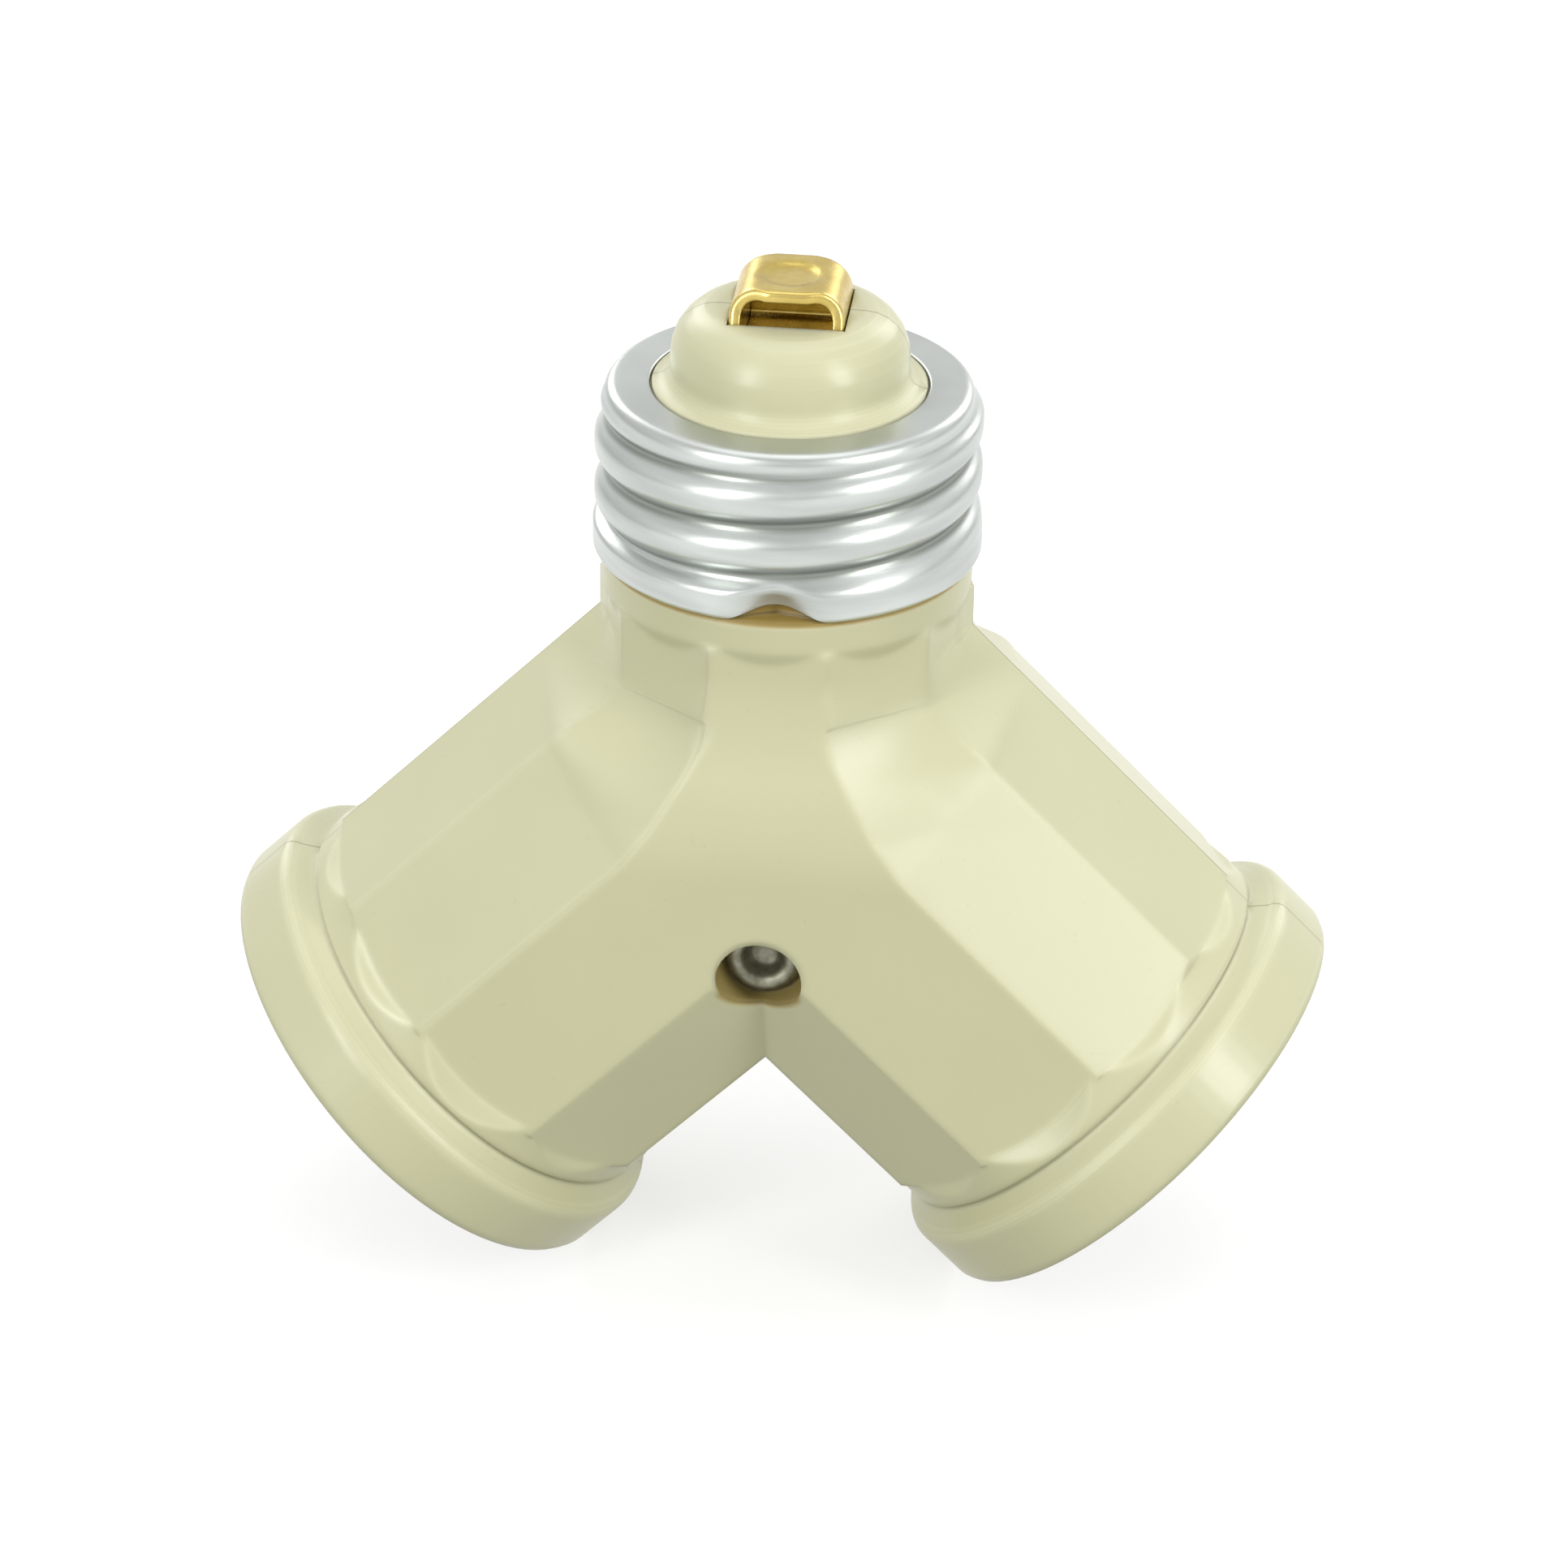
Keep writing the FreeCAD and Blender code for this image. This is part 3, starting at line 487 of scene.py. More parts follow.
# %% Lines of the panel
PANEL_TOP, PANEL_FOOT = 8.2 + CROSSING_Z, 0.9 + CROSSING_Z
NECK_DEPTH, ARM_DEPTH = 12.2, 15.3
NECK_HALF, ARM_HALF = 3.95, 7.0
DEPTH_SLOPE = (ARM_DEPTH - NECK_DEPTH) / (PANEL_TOP - PANEL_FOOT)
SIDE_SLOPE = (ARM_HALF - NECK_HALF) / (PANEL_TOP - PANEL_FOOT)
BEND_REACH = 3.4


def flat_depth(z):
    return min(ARM_DEPTH, max(NECK_DEPTH, NECK_DEPTH + (PANEL_TOP - z) * DEPTH_SLOPE))


def flat_side(z):
    """Half the width of the panel at a height: the neck's, then two slopes down the arms."""
    between = min(max(PANEL_TOP - z, 0.0), PANEL_TOP - PANEL_FOOT)
    return NECK_HALF + between * SIDE_SLOPE + max(PANEL_FOOT - z, 0.0)


def rounding(z, bend_top, bend_foot):
    """What the parabolas add at a height, for a change of slope at each bend."""
    step = 0.0
    for corner, bend in ((PANEL_TOP, bend_top), (PANEL_FOOT, bend_foot)):
        near = max(0.0, 1 - abs(z - corner) / BEND_REACH)
        step += bend * BEND_REACH / 4 * near * near
    return step


print("the panel bends at z", round(PANEL_TOP, 2), "and", round(PANEL_FOOT, 2), "mm")
print("the curve leaves the corner by", round(rounding(PANEL_FOOT, 0.0, 1 - SIDE_SLOPE), 2), "mm at most")

# %% [markdown]
# A flat face can't bend, so the flats near the bends are first cut by close level planes. Subdividing the
# whole body would do it too, but with many more faces and rounder corners elsewhere.

# %% Level cuts round the bends
LEVELS = 19


def cut_levels(work):
    for corner in (PANEL_TOP, PANEL_FOOT):
        for level in np.linspace(corner - BEND_REACH, corner + BEND_REACH, LEVELS):
            crossing = [
                face for face in work.faces
                if abs(face.normal.y) > 0.25 and abs(face.calc_center_median().y) > 7.4
                and min(v.co.z for v in face.verts) < level < max(v.co.z for v in face.verts)
            ]
            edges = list(dict.fromkeys(edge for face in crossing for edge in face.edges))
            verts = list(dict.fromkeys(vert for face in crossing for vert in face.verts))
            bmesh.ops.bisect_plane(
                work, geom=verts + edges + crossing, dist=1e-4, plane_co=(0, 0, level), plane_no=(0, 0, 1))


print(LEVELS, "cuts for each bend, one every", round(2 * BEND_REACH / (LEVELS - 1), 2), "mm")

# %% [markdown]
# Then the points near the bends are moved. Those of the panel take the whole step, and those of the flats
# beside it a share that fades to nothing at the flats' far edge, so that no gap opens. The round collar's
# foot is drawn down at the same time, so that it runs out into the ten flats of the neck.

# %% Moving the points
SHOULDER = 0.615
COLLAR_FOOT, COLLAR_RADIUS, FOOT_STRETCH = -3.5, 12.6, 2.2


def soften(spot):
    """Moves one point in place, and says whether a bend has moved it."""
    share = min(1.0, (abs(spot.y) / flat_depth(spot.z) - SHOULDER) / (1 - SHOULDER))
    deeper = rounding(spot.z, DEPTH_SLOPE, -DEPTH_SLOPE)
    wider = rounding(spot.z, SIDE_SLOPE, 1 - SIDE_SLOPE)
    bent = share > 0 and wider > 0
    if bent:
        within = min(1.0, abs(spot.x) / flat_side(spot.z))
        spot.y += deeper * share * math.copysign(1.0, spot.y)
        spot.x += wider * share * within * within * math.copysign(1.0, spot.x)
    radius = math.hypot(spot.x, spot.y)
    below, inside = COLLAR_FOOT - spot.z, COLLAR_RADIUS - radius
    if 0.005 < below < 0.6 and 0.005 < inside < 0.5:
        spot.z = COLLAR_FOOT + (spot.z - COLLAR_FOOT) * FOOT_STRETCH
    return bent


print("the flats beside the panel follow from", SHOULDER, "of its depth outwards")

# %% [markdown]
# Both halves go through the same steps. A copy of the solid's mesh is merged first, because a solid comes
# as loose triangles, and the solid itself is left as it is. The copy is shaded flat: the Bevel node of the
# cream finish rounds its edges, and smooth shading would blur the flats.


# %% Soft copies of the two halves
def soft_copy(solid):
    mesh = solid.data.copy()
    work = bmesh.new()
    work.from_mesh(mesh)
    work.transform(Matrix.Scale(1 / MM, 4) @ solid.matrix_world)
    bmesh.ops.remove_doubles(work, verts=work.verts, dist=1e-4)
    cut_levels(work)
    bent = sum(soften(vert.co) for vert in work.verts)
    bmesh.ops.triangulate(work, faces=work.faces)
    work.to_mesh(mesh)
    work.free()
    mesh.polygons.foreach_set("use_smooth", [False] * len(mesh.polygons))
    print(solid.name, "points moved:", bent)
    return mesh


for half in ("body_front_half", "body_back_half"):
    in_place(soft_copy(nodes[half]), "soft_" + half, Matrix.Identity(4), cream, half)

# %% [markdown]
# The screw shells and the rivet are turned pieces: an outline swung round an axis. Spin or a Screw modifier
# could swing it. Rings of points worked out here are just as quick, and each point can keep extra numbers
# from the outline as attributes, which the node trees read later.


# %% Rings of points round an axis
def turned_mesh(name, outline, around, marks=None, closed=True):
    """The outline of (radius, height) is either closed or ends on the axis with a cap."""
    outline = np.array(outline, dtype=float)
    count = len(outline)
    angles = np.arange(around) * 2 * math.pi / around
    radius = outline[:, 0][:, None]
    rings = np.stack([
        radius * np.cos(angles)[None, :],
        radius * np.sin(angles)[None, :],
        np.repeat(outline[:, 1][:, None], around, axis=1),
    ], axis=2)
    faces = []
    for ring in range(count if closed else count - 1):
        low, high = ring * around, ((ring + 1) % count) * around
        for k in range(around):
            n = (k + 1) % around
            faces.append((low + k, low + n, high + n, high + k))
    if not closed:
        faces.append(tuple(reversed(range(around))))
        faces.append(tuple(range((count - 1) * around, count * around)))
    mesh = bpy.data.meshes.new(name)
    mesh.from_pydata(rings.reshape(-1, 3).tolist(), [], faces)
    for label, values in (marks or {}).items():
        spread = np.repeat(np.array(values, dtype=float), around)
        mesh.attributes.new(label, "FLOAT", "POINT").data.foreach_set("value", spread)
    mesh.polygons.foreach_set("use_smooth", [True] * len(mesh.polygons))
    return mesh


def bend(centre, radius, angles):
    """Points of an arc: its centre, one radius or two, and its angles in degrees."""
    wide, high = radius if isinstance(radius, tuple) else (radius, radius)
    return [
        (centre[0] + wide * math.cos(math.radians(a)), centre[1] + high * math.sin(math.radians(a)))
        for a in angles
    ]


def soft(share):
    """A smooth step from 0 to 1."""
    share = min(1.0, max(0.0, share))
    return share * share * (3 - 2 * share)


print("helpers ready: turned_mesh, bend, soft")

# %% [markdown]
# A thread follows a rule, and so do the crimps, so both are made with Geometry Nodes. A tree built in the
# script has named inputs for its sizes. It ends in Realize Instances and Set Material, runs once on a plain
# mesh, and what comes out is a plain mesh again, with no modifier left on it.


# %% Building and running a node tree
def new_tree(name, numbers):
    tree = bpy.data.node_groups.new(name, "GeometryNodeTree")
    tree.interface.new_socket("Geometry", in_out="INPUT", socket_type="NodeSocketGeometry")
    tree.interface.new_socket("Geometry", in_out="OUTPUT", socket_type="NodeSocketGeometry")
    for label, value in numbers.items():
        entry = tree.interface.new_socket(label, in_out="INPUT", socket_type="NodeSocketFloat")
        entry.default_value = value
    make = Maker(tree)
    start = make.node("NodeGroupInput")
    given = {label: make.take(start, label) for label in numbers}
    return tree, make, make.take(start, "Geometry"), given


def finish_tree(make, geometry, finish):
    whole = make.node("GeometryNodeRealizeInstances", None, Geometry=geometry)
    coated = make.node("GeometryNodeSetMaterial", None, Geometry=make.take(whole), Material=finish)
    end = make.tree.nodes.new("NodeGroupOutput")
    make.tree.links.new(coated.outputs[0], end.inputs["Geometry"])


def run_tree(mesh, tree, numbers):
    """The mesh after the tree. Inputs are set by their identifiers before the first evaluation."""
    carrier = bpy.data.objects.new("carrier", mesh)
    bpy.context.scene.collection.objects.link(carrier)
    modifier = carrier.modifiers.new("tree", "NODES")
    modifier.node_group = tree
    for entry in tree.interface.items_tree:
        if entry.in_out == "INPUT" and entry.name in numbers:
            modifier[entry.identifier] = float(numbers[entry.name])
    evaluated = carrier.evaluated_get(bpy.context.evaluated_depsgraph_get())
    made = bpy.data.meshes.new_from_object(evaluated)
    carrier.modifiers.clear()
    bpy.data.objects.remove(carrier)
    return made


print("helpers ready: new_tree, finish_tree, run_tree")

# %% [markdown]
# Inside a tree, a point's place is split into its three parts, the parts are changed by sums, and the point
# is set down again. An attribute that the outline carries tells how much of a rule a point obeys.


# %% Reading and moving points in a tree
def parts_of_place(make):
    split = make.node("ShaderNodeSeparateXYZ", None, _0=make.take(make.node("GeometryNodeInputPosition")))
    return make.take(split, 0), make.take(split, 1), make.take(split, 2)


def moved(make, geometry, x, y, z):
    joined = make.take(make.node("ShaderNodeCombineXYZ", None, _0=x, _1=y, _2=z))
    return make.take(make.node("GeometryNodeSetPosition", None, Geometry=geometry, Position=joined))


def mark(make, label):
    return make.take(make.node("GeometryNodeInputNamedAttribute", {"data_type": "FLOAT"}, Name=label))


print("helpers ready: parts_of_place, moved, mark")

# %% [markdown]
# The shell's thread is rolled into the sheet, so both faces of the sheet move together: in and out with the
# cosine of height over pitch less the angle, which climbs by one pitch a turn. A Screw modifier could carry
# a section up a helix, but then the thread's run-out into the plain band would be hard to make. A power on
# the wave narrows the valleys, as they are on the plug.

# %% The rolled thread
LAMP_PITCH, THREAD_DEPTH = 3.629, 0.85


def thread_tree(finish):
    tree, make, geometry, given = new_tree("roll_thread", {
        "Pitch": LAMP_PITCH, "Depth": THREAD_DEPTH, "Start": 4.79, "Sharp valley": 1.0,
    })
    x, y, z = parts_of_place(make)
    angle = y.sum("ARCTAN2", y, x)
    radius = (x * x + y * y).root()
    wave = ((z - given["Start"]) * (2 * math.pi) / given["Pitch"] - angle).cosine()
    valley = ((1 - wave) * 0.5).at_least(0.0) ** given["Sharp valley"]
    shift = (0.5 - valley) * given["Depth"] * mark(make, "thread")
    grow = (radius + shift) / radius
    finish_tree(make, moved(make, geometry, x * grow, y * grow, z), finish)
    return tree


plug_thread = thread_tree(plug_aluminium)
socket_thread = thread_tree(aluminium)
print("trees:", plug_thread.name, socket_thread.name, "with", len(plug_thread.nodes), "nodes each")

# %% [markdown]
# Two crimps hold the plug's shell on the body. A tool presses the lower edge in, front and back, and the
# edge is drawn up a little as the sheet gives way. A boolean cut would leave a hole instead of bent sheet.
# Here no point may stand further out than a crease that leans inwards, and a soft minimum keeps the fold
# round. The inner face stops one sheet's thickness deeper.

# %% The pressed crimps
BAND_RADIUS = 13.2
PLUG_LOW = -1.1


def crimp_tree(finish):
    tree, make, geometry, given = new_tree("press_crimps", {
        "Band radius": BAND_RADIUS, "Crimp depth": 1.45, "Crimp height": 4.6, "Spread": 0.195,
        "Lower edge": PLUG_LOW, "Soft fold": 0.5, "Turn": math.radians(2.4), "Edge lift": 0.9,
    })
    x, y, z = parts_of_place(make)
    cos, sin = given["Turn"].cosine(), given["Turn"].sine()
    over = x * cos + y * sin
    front = y * cos - x * sin
    crease = given["Band radius"] - given["Crimp depth"]
    crease = crease + (z - given["Lower edge"]) * given["Crimp depth"] / given["Crimp height"]
    crease = crease + z.step_up(1.5, 2.4) * 2.0
    limit = crease + (over * over + 0.04).root() * given["Spread"] - mark(make, "inner") * 0.37
    pressed = front.sum("SMOOTH_MIN", front.size(), limit, given["Soft fold"])
    front = pressed * front.sign()
    rise = (1 - z.step_up(PLUG_LOW, 1.6)) * (1 - over.size().step_up(0.3, 3.3)) * given["Edge lift"]
    geometry = moved(make, geometry, over * cos - front * sin, over * sin + front * cos, z + rise)
    finish_tree(make, geometry, finish)
    return tree


plug_crimps = crimp_tree(plug_aluminium)
print("tree:", plug_crimps.name, "with", len(plug_crimps.nodes), "nodes")

# %% [markdown]
# The plug's screw shell is one sheet: a plain band at the foot, three turns of thread, a rounded top edge
# and a flat top with a hole for the dome. A tube thickened by a Solidify modifier would do for the wall,
# but not for the flat top's fine edge. So the outline goes up the outside and comes back down the inside of
# the sheet, and says at each height how much of the thread the wall carries.

# %% Wall of the plug's shell
SHEET = 0.35
PLUG_CREST = 13.1
PLUG_TOP, PLUG_ROUND, PLUG_TOP_RADIUS, PLUG_HOLE = 10.8, 0.8, 12.45, 9.4
WALL_TOP = PLUG_TOP - PLUG_ROUND
EDGE_CURL = 0.3


def plug_wall(height):
    """Middle radius of the wall at a height, and how much of the thread it carries."""
    band = 1 - soft((height - 0.75) / 0.8)
    under = soft((height - WALL_TOP + 1.2) / 1.2)
    middle = PLUG_CREST - THREAD_DEPTH / 2
    middle += band * (BAND_RADIUS - middle)
    middle += under * (PLUG_TOP_RADIUS - middle)
    return middle, (1 - band) * (1 - under)


def plug_side(heights, inwards, inner):
    """Rows of radius, height, share of the thread and face of the sheet, curled in at the lower edge."""
    rows = []
    for height in heights:
        middle, thread = plug_wall(height)
        curl = EDGE_CURL * (1 - soft((height - PLUG_LOW) / 0.4))
        rows.append((middle - curl - inwards, height, thread, inner))
    return rows


print("middle radius of the wall at its foot, halfway and top:",
      [round(plug_wall(height)[0], 3) for height in (PLUG_LOW, 5.0, WALL_TOP)])

# %% [markdown]
# The rows are now joined to one closed outline, with arcs at the top edge. The last three rows round the
# lower edge of the sheet.


# %% Outline of the plug's sheet
def plug_outline():
    heights = np.linspace(PLUG_LOW + 0.12, WALL_TOP, 72)
    corner = (PLUG_TOP_RADIUS - PLUG_ROUND, WALL_TOP)
    quarter = [90 * k / 8 for k in range(9)]
    rows = plug_side(heights, 0.0, 0.0)
    rows += [(*spot, 0.0, 0.0) for spot in bend(corner, PLUG_ROUND, quarter[1:])]
    rows += [(across, PLUG_TOP, 0.0, 0.0) for across in (11.2, 10.6, 10.0, 9.6, 9.47)]
    rows.append((PLUG_HOLE, PLUG_TOP - 0.08, 0.0, 0.0))
    rows.append((PLUG_HOLE, PLUG_TOP - SHEET + 0.06, 0.0, 1.0))
    rows.append((9.46, PLUG_TOP - SHEET, 0.0, 1.0))
    rows += [(*spot, 0.0, 1.0) for spot in bend(corner, PLUG_ROUND - SHEET, quarter[::-1])]
    rows += plug_side(heights[::-1][1:], SHEET, 1.0)
    edge = plug_wall(PLUG_LOW)[0] - EDGE_CURL
    rows.append((edge - SHEET * 0.8, PLUG_LOW + 0.02, 0.0, 1.0))
    rows.append((edge - SHEET * 0.5, PLUG_LOW, 0.0, 0.5))
    rows.append((edge - SHEET * 0.2, PLUG_LOW + 0.02, 0.0, 0.0))
    return np.array(rows)


plug_rows = plug_outline()
print("the sheet's outline has", len(plug_rows), "points")

# %% [markdown]
# The outline is swung round the axis, the thread is rolled and the crimps are pressed, in the order of the
# workshop. The plain rings carry two attributes for the trees: the share of the thread, and which face of
# the sheet a point is on.

# %% Roll and crimp the plug's shell
plug_marks = {"thread": plug_rows[:, 2], "inner": plug_rows[:, 3]}
plug_mesh = turned_mesh("plug_rings", plug_rows[:, :2], 216, plug_marks)
plug_mesh = run_tree(plug_mesh, plug_thread, {"Sharp valley": 2.0})
plug_mesh = run_tree(plug_mesh, plug_crimps, {})
face_outwards(plug_mesh)
in_place(plug_mesh, "rolled_plug_shell", Matrix.Identity(4), plug_aluminium, "plug_screw_shell")

# %% [markdown]
# The socket shells take a lamp's thread from inside: the wall swings between the lamp thread's two radii,
# then widens to a plain skirt at the mouth, and its floor has a hole for the centre contact. The outline
# runs from the floor's hole up the outside and back down the inside. Here the thread's valleys are as
# wide as its crests.

# %% Outline of a socket's shell
SOCKET_MAJOR, SKIRT_RADIUS, SHELL_FLOOR, SHELL_END, FLOOR_HOLE = 13.3, 13.6, 16.2, 34.5, 8.5
FLOOR_BEND = 0.45


def socket_wall(along):
    """Middle radius of the inner face at a distance along the axis, and its share of the thread."""
    skirt = soft((along - (SHELL_END - 3.2)) / 0.9)
    foot = 1 - soft((along - SHELL_FLOOR - 0.8) / 1.0)
    middle = SOCKET_MAJOR - THREAD_DEPTH / 2
    middle += skirt * (SKIRT_RADIUS - middle)
    middle += foot * (SOCKET_MAJOR - 0.3 - middle)
    return middle, 1 - max(skirt, foot)


def socket_outline():
    floor_top = SHELL_FLOOR + SHEET
    corner = socket_wall(SHELL_FLOOR)[0] - FLOOR_BEND
    quarter = [270 + 90 * k / 6 for k in range(7)]
    rows = [(FLOOR_HOLE, SHELL_FLOOR + 0.06, 0.0), (FLOOR_HOLE + 0.06, SHELL_FLOOR, 0.0)]
    rows.append((10.5, SHELL_FLOOR, 0.0))
    rows += [(*spot, 0.0) for spot in bend((corner, SHELL_FLOOR + 0.8), (FLOOR_BEND + SHEET, 0.8), quarter)]
    heights = np.linspace(SHELL_FLOOR + 1.0, SHELL_END - 0.05, 104)
    walls = [(*socket_wall(along), along) for along in heights]
    rows += [(middle + SHEET, along, thread) for middle, thread, along in walls]
    rows.append((SKIRT_RADIUS + SHEET * 0.5, SHELL_END, 0.0))
    rows += [(middle, along, thread) for middle, thread, along in reversed(walls)]
    rows += [(*spot, 0.0) for spot in bend((corner, floor_top + FLOOR_BEND), FLOOR_BEND, quarter[::-1])]
    rows += [(10.5, floor_top, 0.0), (FLOOR_HOLE + 0.06, floor_top, 0.0), (FLOOR_HOLE, floor_top - 0.06, 0.0)]
    return np.array(rows)


socket_rows = socket_outline()
print("the outline of a socket's shell has", len(socket_rows), "points")

# %% [markdown]
# One outline serves both sockets. A mirrored copy would have a left-hand thread, which no lamp fits, so
# the second shell is turned onto its axis instead.

# %% Socket screw shells
SOCKET_PLACE = {
    "left": CROSSING @ Matrix.Rotation(math.radians(225), 4, "Y"),
    "right": CROSSING @ Matrix.Rotation(math.pi, 4, "Z") @ Matrix.Rotation(math.radians(225), 4, "Y"),
}
for side, place in SOCKET_PLACE.items():
    shell = turned_mesh("socket_rings", socket_rows[:, :2], 180, {"thread": socket_rows[:, 2]})
    shell = run_tree(shell, socket_thread, {"Start": 20.0, "Sharp valley": 1.0})
    face_outwards(shell)
    in_place(shell, f"rolled_socket_shell_{side}", place, aluminium, f"socket_shell_{side}")

# %% [markdown]
# The tip contact is one strip of brass, stamped and bent: over the dome, down through it on both sides and
# out to a tab on each socket's axis. A curve with a bevel could carry its section, but it would twist at
# the bends. Here the middle line is worked out as straight runs joined by arcs, the same line as the
# solid's, so that the strip fills the same slots.


# %% Middle line of the strap
def bent_line(points, radius, step):
    """Places and directions along straight runs joined by arcs, in the XZ plane."""
    line = [Vector((x, 0.0, z)) for x, z in points]
    places = []
    start = line[0]
    for i in range(1, len(line) - 1):
        before = (line[i] - line[i - 1]).normalized()
        after = (line[i + 1] - line[i]).normalized()
        turn = before.angle(after)
        reach = radius * math.tan(turn / 2)
        arc_in = line[i] - before * reach
        inwards = (after - before * before.dot(after)).normalized()
        centre = arc_in + inwards * radius
        runs = max(2, round((arc_in - start).length / step))
        places += [(start.lerp(arc_in, k / runs), before) for k in range(runs)]
        for k in range(10):
            a = turn * k / 10
            place = centre + (before * math.sin(a) - inwards * math.cos(a)) * radius
            places.append((place, before * math.cos(a) + inwards * math.sin(a)))
        start = line[i] + after * reach
    final = (line[-1] - start).normalized()
    runs = max(2, round((line[-1] - start).length / step))
    return places + [(start.lerp(line[-1], k / runs), final) for k in range(runs + 1)]


def on_axis(across, along):
    """A point beside the left socket's axis, in the plane of the axes."""
    place = Matrix.Rotation(math.radians(225), 3, "Y") @ Vector((across, 0.0, along))
    return place.x, place.z


STRAP_THICK, STRAP_WIDTH, STRAP_HALF, STRAP_BEND = 0.8, 7.0, 3.45, 1.7
STRAP_TOP, DOME_TOP = 18.6 - CROSSING_Z, 16.2 - CROSSING_Z
TAB_MIDDLE = 11.0 + STRAP_THICK / 2
left_corners = [
    on_axis(-3.4, TAB_MIDDLE), on_axis(3.0, TAB_MIDDLE), (-STRAP_HALF, 9.0),
    (-STRAP_HALF, STRAP_TOP - STRAP_THICK / 2),
]
right_corners = [(-x, z) for x, z in reversed(left_corners)]
strap_line = bent_line(left_corners + right_corners, STRAP_BEND, 0.35)
print("the strap's middle line has", len(strap_line), "places")

# %% [markdown]
# The press leaves soft edges on the strip, softer on its outer face. The section goes once round the strip,
# a quarter arc at each corner, with extra points along both broad faces for the dish that follows.

# %% Section of the strap
OUTER_EDGE, INNER_EDGE = 0.34, 0.16
ACROSS_STEPS = 24


def strap_section():
    half, thick = STRAP_WIDTH / 2, STRAP_THICK / 2
    points = []
    corners = ((1, 1, OUTER_EDGE), (-1, 1, OUTER_EDGE), (-1, -1, INNER_EDGE), (1, -1, INNER_EDGE))
    for quarter, (side, face, edge) in enumerate(corners):
        centre = (side * (half - edge), face * (thick - edge))
        points += bend(centre, edge, [90 * quarter + 90 * k / 4 for k in range(5)])
        if quarter in (0, 2):
            run = 2 * (half - edge) / ACROSS_STEPS
            points += [(centre[0] - side * run * k, face * thick) for k in range(1, ACROSS_STEPS)]
    return points


section = strap_section()
print("the strap's section has", len(section), "points")

# %% [markdown]
# The section is carried along the line. Over the dome the strip is a little narrower at its two bends,
# where the sheet was drawn, and its top has a round dish, where the tool pushed it down.

# %% Tip contact strap
DISH_RADIUS, DISH_DEPTH = 2.3, 0.25
WAIST, WAIST_REACH = 0.13, 1.7


def strap_point(place, along, across, up):
    outward = Vector((-along.z, 0.0, along.x))
    waist = deep = 0.0
    if place.z > DOME_TOP - 1.0:
        corner = Vector((math.copysign(STRAP_HALF - 0.5, place.x), 0.0, STRAP_TOP - 0.9))
        waist = WAIST * max(0.0, 1 - ((place - corner).length / WAIST_REACH) ** 2)
    reach = math.hypot(place.x, across) / DISH_RADIUS
    if place.z > STRAP_TOP - 1.0 and reach < 1:
        deep = DISH_DEPTH * soft((1 - reach) / 0.35)
    return place + outward * (up - deep) + Vector((0.0, across * (1 - waist), 0.0))


def carried_mesh(name, line, section):
    """Skin through a section at each place of a line, closed at both ends."""
    points = [tuple(strap_point(place, along, *spot)) for place, along in line for spot in section]
    count = len(section)
    faces = []
    for low in range(0, (len(line) - 1) * count, count):
        for k in range(count):
            n = (k + 1) % count
            faces.append((low + k, low + n, low + count + n, low + count + k))
    faces.append(tuple(reversed(range(count))))
    faces.append(tuple(range(len(points) - count, len(points))))
    mesh = bpy.data.meshes.new(name)
    mesh.from_pydata(points, [], faces)
    mesh.polygons.foreach_set("use_smooth", [True] * len(mesh.polygons))
    return mesh


strap_mesh = carried_mesh("strap", strap_line, section)
face_outwards(strap_mesh)
in_place(strap_mesh, "bent_tip_contact", CROSSING, brass, "tip_contact_strap")

# %% [markdown]
# Under the strap a lower leaf of brass lines the pocket, so that the opening glows amber where brass faces
# brass. It is a bent sheet. Its profile in depth and height is thickened by a step at right angles to the
# line, and then carried straight across.


# %% Leaf in the pocket
def bent_sheet(outline, thick, half_wide):
    """A strip of sheet: the outline gives its outer side as (depth, height), bent and then extruded."""
    outer = [Vector(p) for p in outline]
    inner = []
    for i, spot in enumerate(outer):
        before = (spot - outer[i - 1]).normalized() if i else (outer[1] - outer[0]).normalized()
        after = (outer[i + 1] - spot).normalized() if i + 1 < len(outer) else before
        way = (before + after).normalized()
        inner.append(spot + Vector((-way.y, way.x)) * thick)
    profile = outer + inner[::-1]
    count = len(profile)
    points = [(side, p.x, p.y) for side in (-half_wide, half_wide) for p in profile]
    faces = [(k, (k + 1) % count, count + (k + 1) % count, count + k) for k in range(count)]
    faces += [tuple(range(count)), tuple(reversed(range(count, 2 * count)))]
    mesh = bpy.data.meshes.new("sheet")
    mesh.from_pydata(points, [], faces)
    face_outwards(mesh)
    return mesh


LEAF_HALF, LEAF_END, LEAF_LOW, LEAF_BEND = 3.46, 15.95, 14.56, 0.7
leaf_line = [(-LEAF_HALF, LEAF_END), (-LEAF_HALF, LEAF_LOW + 0.04)]
leaf_line += bend((-LEAF_HALF + LEAF_BEND, LEAF_LOW), LEAF_BEND, range(195, 271, 15))
leaf_line += bend((LEAF_HALF - LEAF_BEND, LEAF_LOW), LEAF_BEND, range(270, 346, 15))
leaf_line += [(LEAF_HALF, LEAF_LOW + 0.04), (LEAF_HALF, LEAF_END)]
leaf = new_piece(bent_sheet(leaf_line, 0.3, 3.0), "tip_contact_leaf", Matrix.Identity(4), brass)
print(leaf.name, len(leaf.data.polygons), "faces")

# %% [markdown]
# The rivet through the body holds the two halves. It is a tubular one: its front end is rolled over into a
# ring round a small hollow, and its back end is a plain head. It is turned from one outline like the
# shells, with both ends closed on the axis, and sits deep in its round seat.

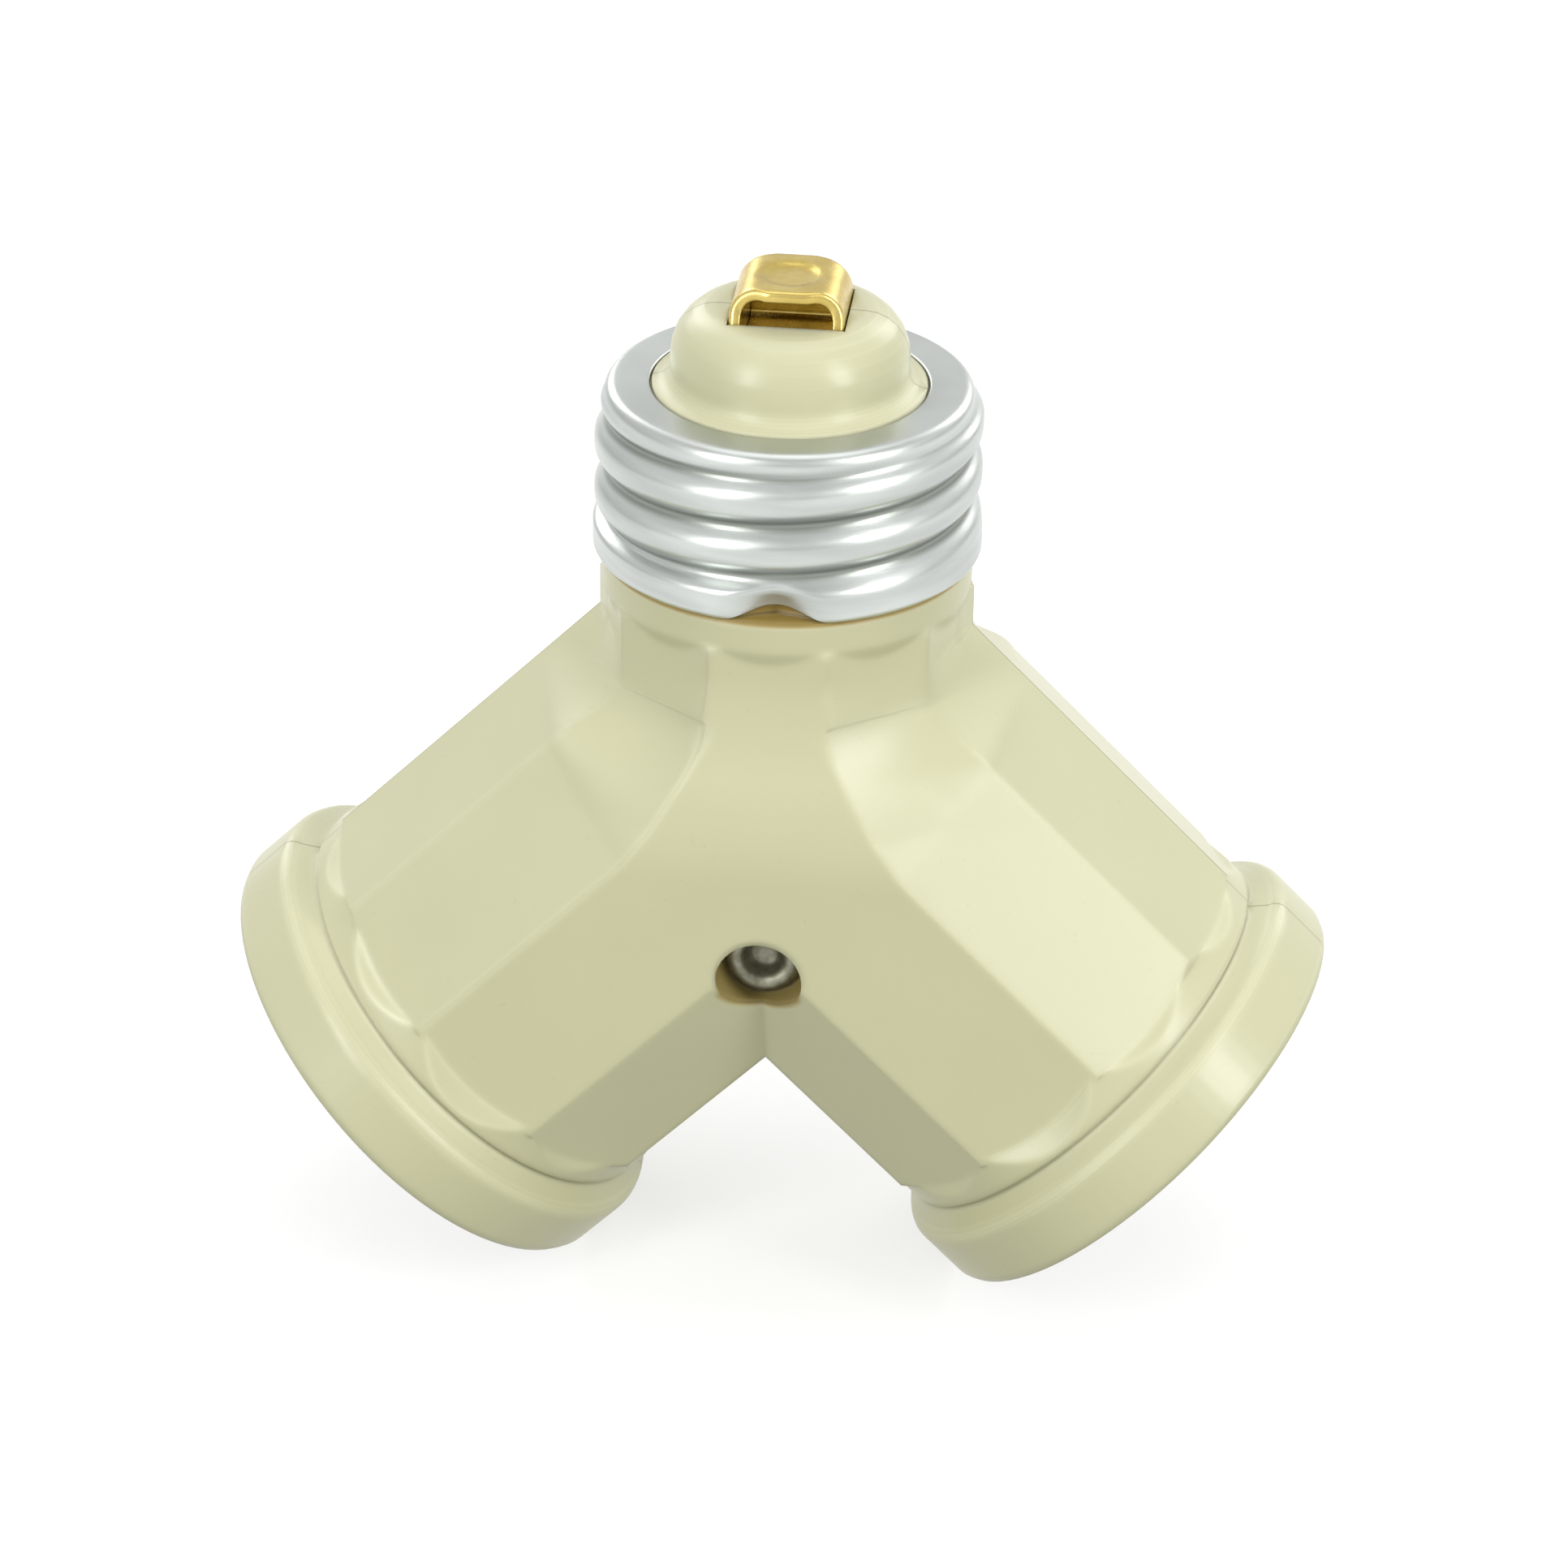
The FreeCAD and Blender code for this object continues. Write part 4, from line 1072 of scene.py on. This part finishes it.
# %% Body rivet
SEAT = 15.3 - 4.2
HEAD, SHANK = 2.75, 1.6
rivet_outline = [(0.02, -SEAT - 1.1), (HEAD - 1.1, -SEAT - 1.08)]
rivet_outline += bend((HEAD - 0.7, -SEAT - 0.4), (0.7, 0.68), range(285, 361, 15))
rivet_outline += [(HEAD, -SEAT - 0.05), (HEAD - 0.05, -SEAT), (SHANK, -SEAT)]
rivet_outline += [(SHANK, SEAT), (HEAD - 0.1, SEAT)]
rivet_outline += bend((HEAD - 0.75, SEAT + 0.15), 0.75, range(0, 161, 20))
rivet_outline += [(1.15, SEAT + 0.1), (1.0, SEAT - 0.15), (0.8, SEAT - 0.3)]
rivet_outline += [(0.4, SEAT - 0.36), (0.02, SEAT - 0.37)]
rivet_mesh = turned_mesh("rivet_rings", rivet_outline, 72, closed=False)
face_outwards(rivet_mesh)
rivet_place = Matrix.Translation((0.0, 0.0, RIVET_Z)) @ Matrix.Rotation(math.pi / 2, 4, "X")
in_place(rivet_mesh, "rolled_body_rivet", rivet_place, dull_steel, "body_rivet")

# %% [markdown]
# The stage starts with a plain pale floor under the rims. A white floor in bright light would throw so much
# light back that the underside lost its shade. So this one shines a little by itself and is left out of
# the light that other surfaces gather, but it still shows in the metal's reflections.

# %% Pale floor
lowest = solid_bounds[0].z
FLOOR_REACH = 6.0
floor_mesh = bpy.data.meshes.new("floor")
floor_mesh.from_pydata(
    [(x * FLOOR_REACH, y * FLOOR_REACH, lowest) for x, y in ((-1, -1), (1, -1), (1, 1), (-1, 1))],
    [], [(0, 1, 2, 3)])
floor = bpy.data.objects.new("floor", floor_mesh)
bpy.context.scene.collection.objects.link(floor)
pale, _, floor_shader = new_finish("pale_floor")
floor_shader.inputs["Base Color"].default_value = (0.38, 0.38, 0.38, 1.0)
floor_shader.inputs["Emission Color"].default_value = (1.0, 1.0, 1.0, 1.0)
floor_shader.inputs["Emission Strength"].default_value = 0.62
floor_shader.inputs["Roughness"].default_value = 0.8
floor_shader.inputs["Specular IOR Level"].default_value = 0.1
floor_mesh.materials.append(pale)
floor.visible_diffuse = False
print("floor at z", round(lowest, 4), "m")

# %% [markdown]
# The room is white and brighter above than below. Four walls with lamps would do it, but a world with a
# gradient is smoother and costs no render time. The lower half of the gradient stands in for the light
# from the floor, and has less blue, because light that comes back from the cream is warm.

# %% White room
world = bpy.data.worlds.new("white_room")
world.use_nodes = True
room = Maker(world.node_tree)
background = [n for n in world.node_tree.nodes if n.type == "BACKGROUND"][0]
rise = axes_of(room, room.take(room.node("ShaderNodeTexCoord"), "Generated"))[2]
WARM = 0.45
stops = [
    (0.0, 0.10, WARM), (0.15, 0.20, WARM), (0.33, 0.38, WARM),
    (0.5, 0.70, 1.0), (0.74, 1.0, 1.0), (1.0, 0.72, 1.0),
]
ramp = room.node(
    "ShaderNodeValToRGB", {"stops": [(at, (level, level, level * blue, 1.0)) for at, level, blue in stops]},
    Fac=rise * 0.5 + 0.5)
link(room, room.take(ramp), background.inputs["Color"])
bpy.context.scene.world = world
bpy.context.scene.view_settings.view_transform = "Standard"
print("room:", len(stops), "steps of light from below to above")

# %% [markdown]
# Metal shows what stands round it, so the rolled shell needs something bright to reflect. Two tall soft
# boxes in front give it its bright columns, a wide one overhead lights the top, and two weak ones behind
# make the back readable. Area lights are used, because their soft edges blur the shadows.


# %% Soft boxes
def soft_box(name, place, wide, high, power):
    data = bpy.data.lights.new(name, "AREA")
    data.shape = "RECTANGLE"
    data.size = wide
    data.size_y = high
    data.energy = power
    lamp = bpy.data.objects.new(name, data)
    bpy.context.scene.collection.objects.link(lamp)
    lamp.location = place
    lamp.rotation_mode = "QUATERNION"
    lamp.rotation_quaternion = (-Vector(place)).to_track_quat("-Z", "Y")
    print(name, power, "W")


soft_box("left_box", (-0.42, -0.60, 0.28), 0.17, 0.55, 2.8)
soft_box("right_box", (0.62, -0.40, 0.30), 0.17, 0.55, 3.3)
soft_box("top_box", (0.0, 0.10, 0.80), 0.7, 0.6, 1.6)
soft_box("back_left_box", (-0.40, 0.62, 0.34), 0.30, 0.40, 1.3)
soft_box("back_right_box", (0.40, 0.62, 0.34), 0.30, 0.40, 1.3)

# %% [markdown]
# The camera stands to the right of the front and looks down at the adapter, far enough away that the
# two arms keep nearly the same size. It could be placed by eye. Its place was found by fitting the known
# sizes to the photograph, and its three directions are worked out from the angles of that fit.

# %% Directions of the camera
LOOK_DOWN = math.radians(27.70)
LOOK_ROUND = math.radians(5.56)
TILT = math.radians(0.96)

backwards = Vector((
    math.sin(LOOK_ROUND) * math.cos(LOOK_DOWN),
    -math.cos(LOOK_ROUND) * math.cos(LOOK_DOWN),
    math.sin(LOOK_DOWN),
))
level = Vector((math.cos(LOOK_ROUND), math.sin(LOOK_ROUND), 0.0))
upright = backwards.cross(level)
sideways = math.cos(TILT) * level + math.sin(TILT) * upright
upwards = -math.sin(TILT) * level + math.cos(TILT) * upright
print("the camera looks along", tuple(round(-c, 3) for c in backwards))

# %% [markdown]
# The lens follows from how many of the picture's pixels a millimetre takes up at the adapter's middle.
# There is no shift and no blur in depth, so other views can move the camera freely.

# %% Camera
DISTANCE_MM = 420.0
PIXELS_PER_MM = 17.94
PICTURE_PIXELS = 1932.0
SENSOR_MM = 36.0
aim = Vector((0.0, 0.0, 5.0 + CROSSING_Z))
stand = (backwards * DISTANCE_MM - sideways * 0.06 - upwards * 6.91 + aim) * MM

camera_data = bpy.data.cameras.new("camera")
camera = bpy.data.objects.new("camera", camera_data)
bpy.context.scene.collection.objects.link(camera)
turn = Matrix((sideways, upwards, backwards)).transposed().to_4x4()
camera.matrix_world = Matrix.Translation(stand) @ turn
camera_data.sensor_width = SENSOR_MM
camera_data.lens = SENSOR_MM * PIXELS_PER_MM * DISTANCE_MM / PICTURE_PIXELS
camera_data.clip_start = 0.01
camera_data.clip_end = 50.0
bpy.context.scene.camera = camera
print("lens", round(camera_data.lens, 1), "mm at", tuple(round(c, 3) for c in stand))
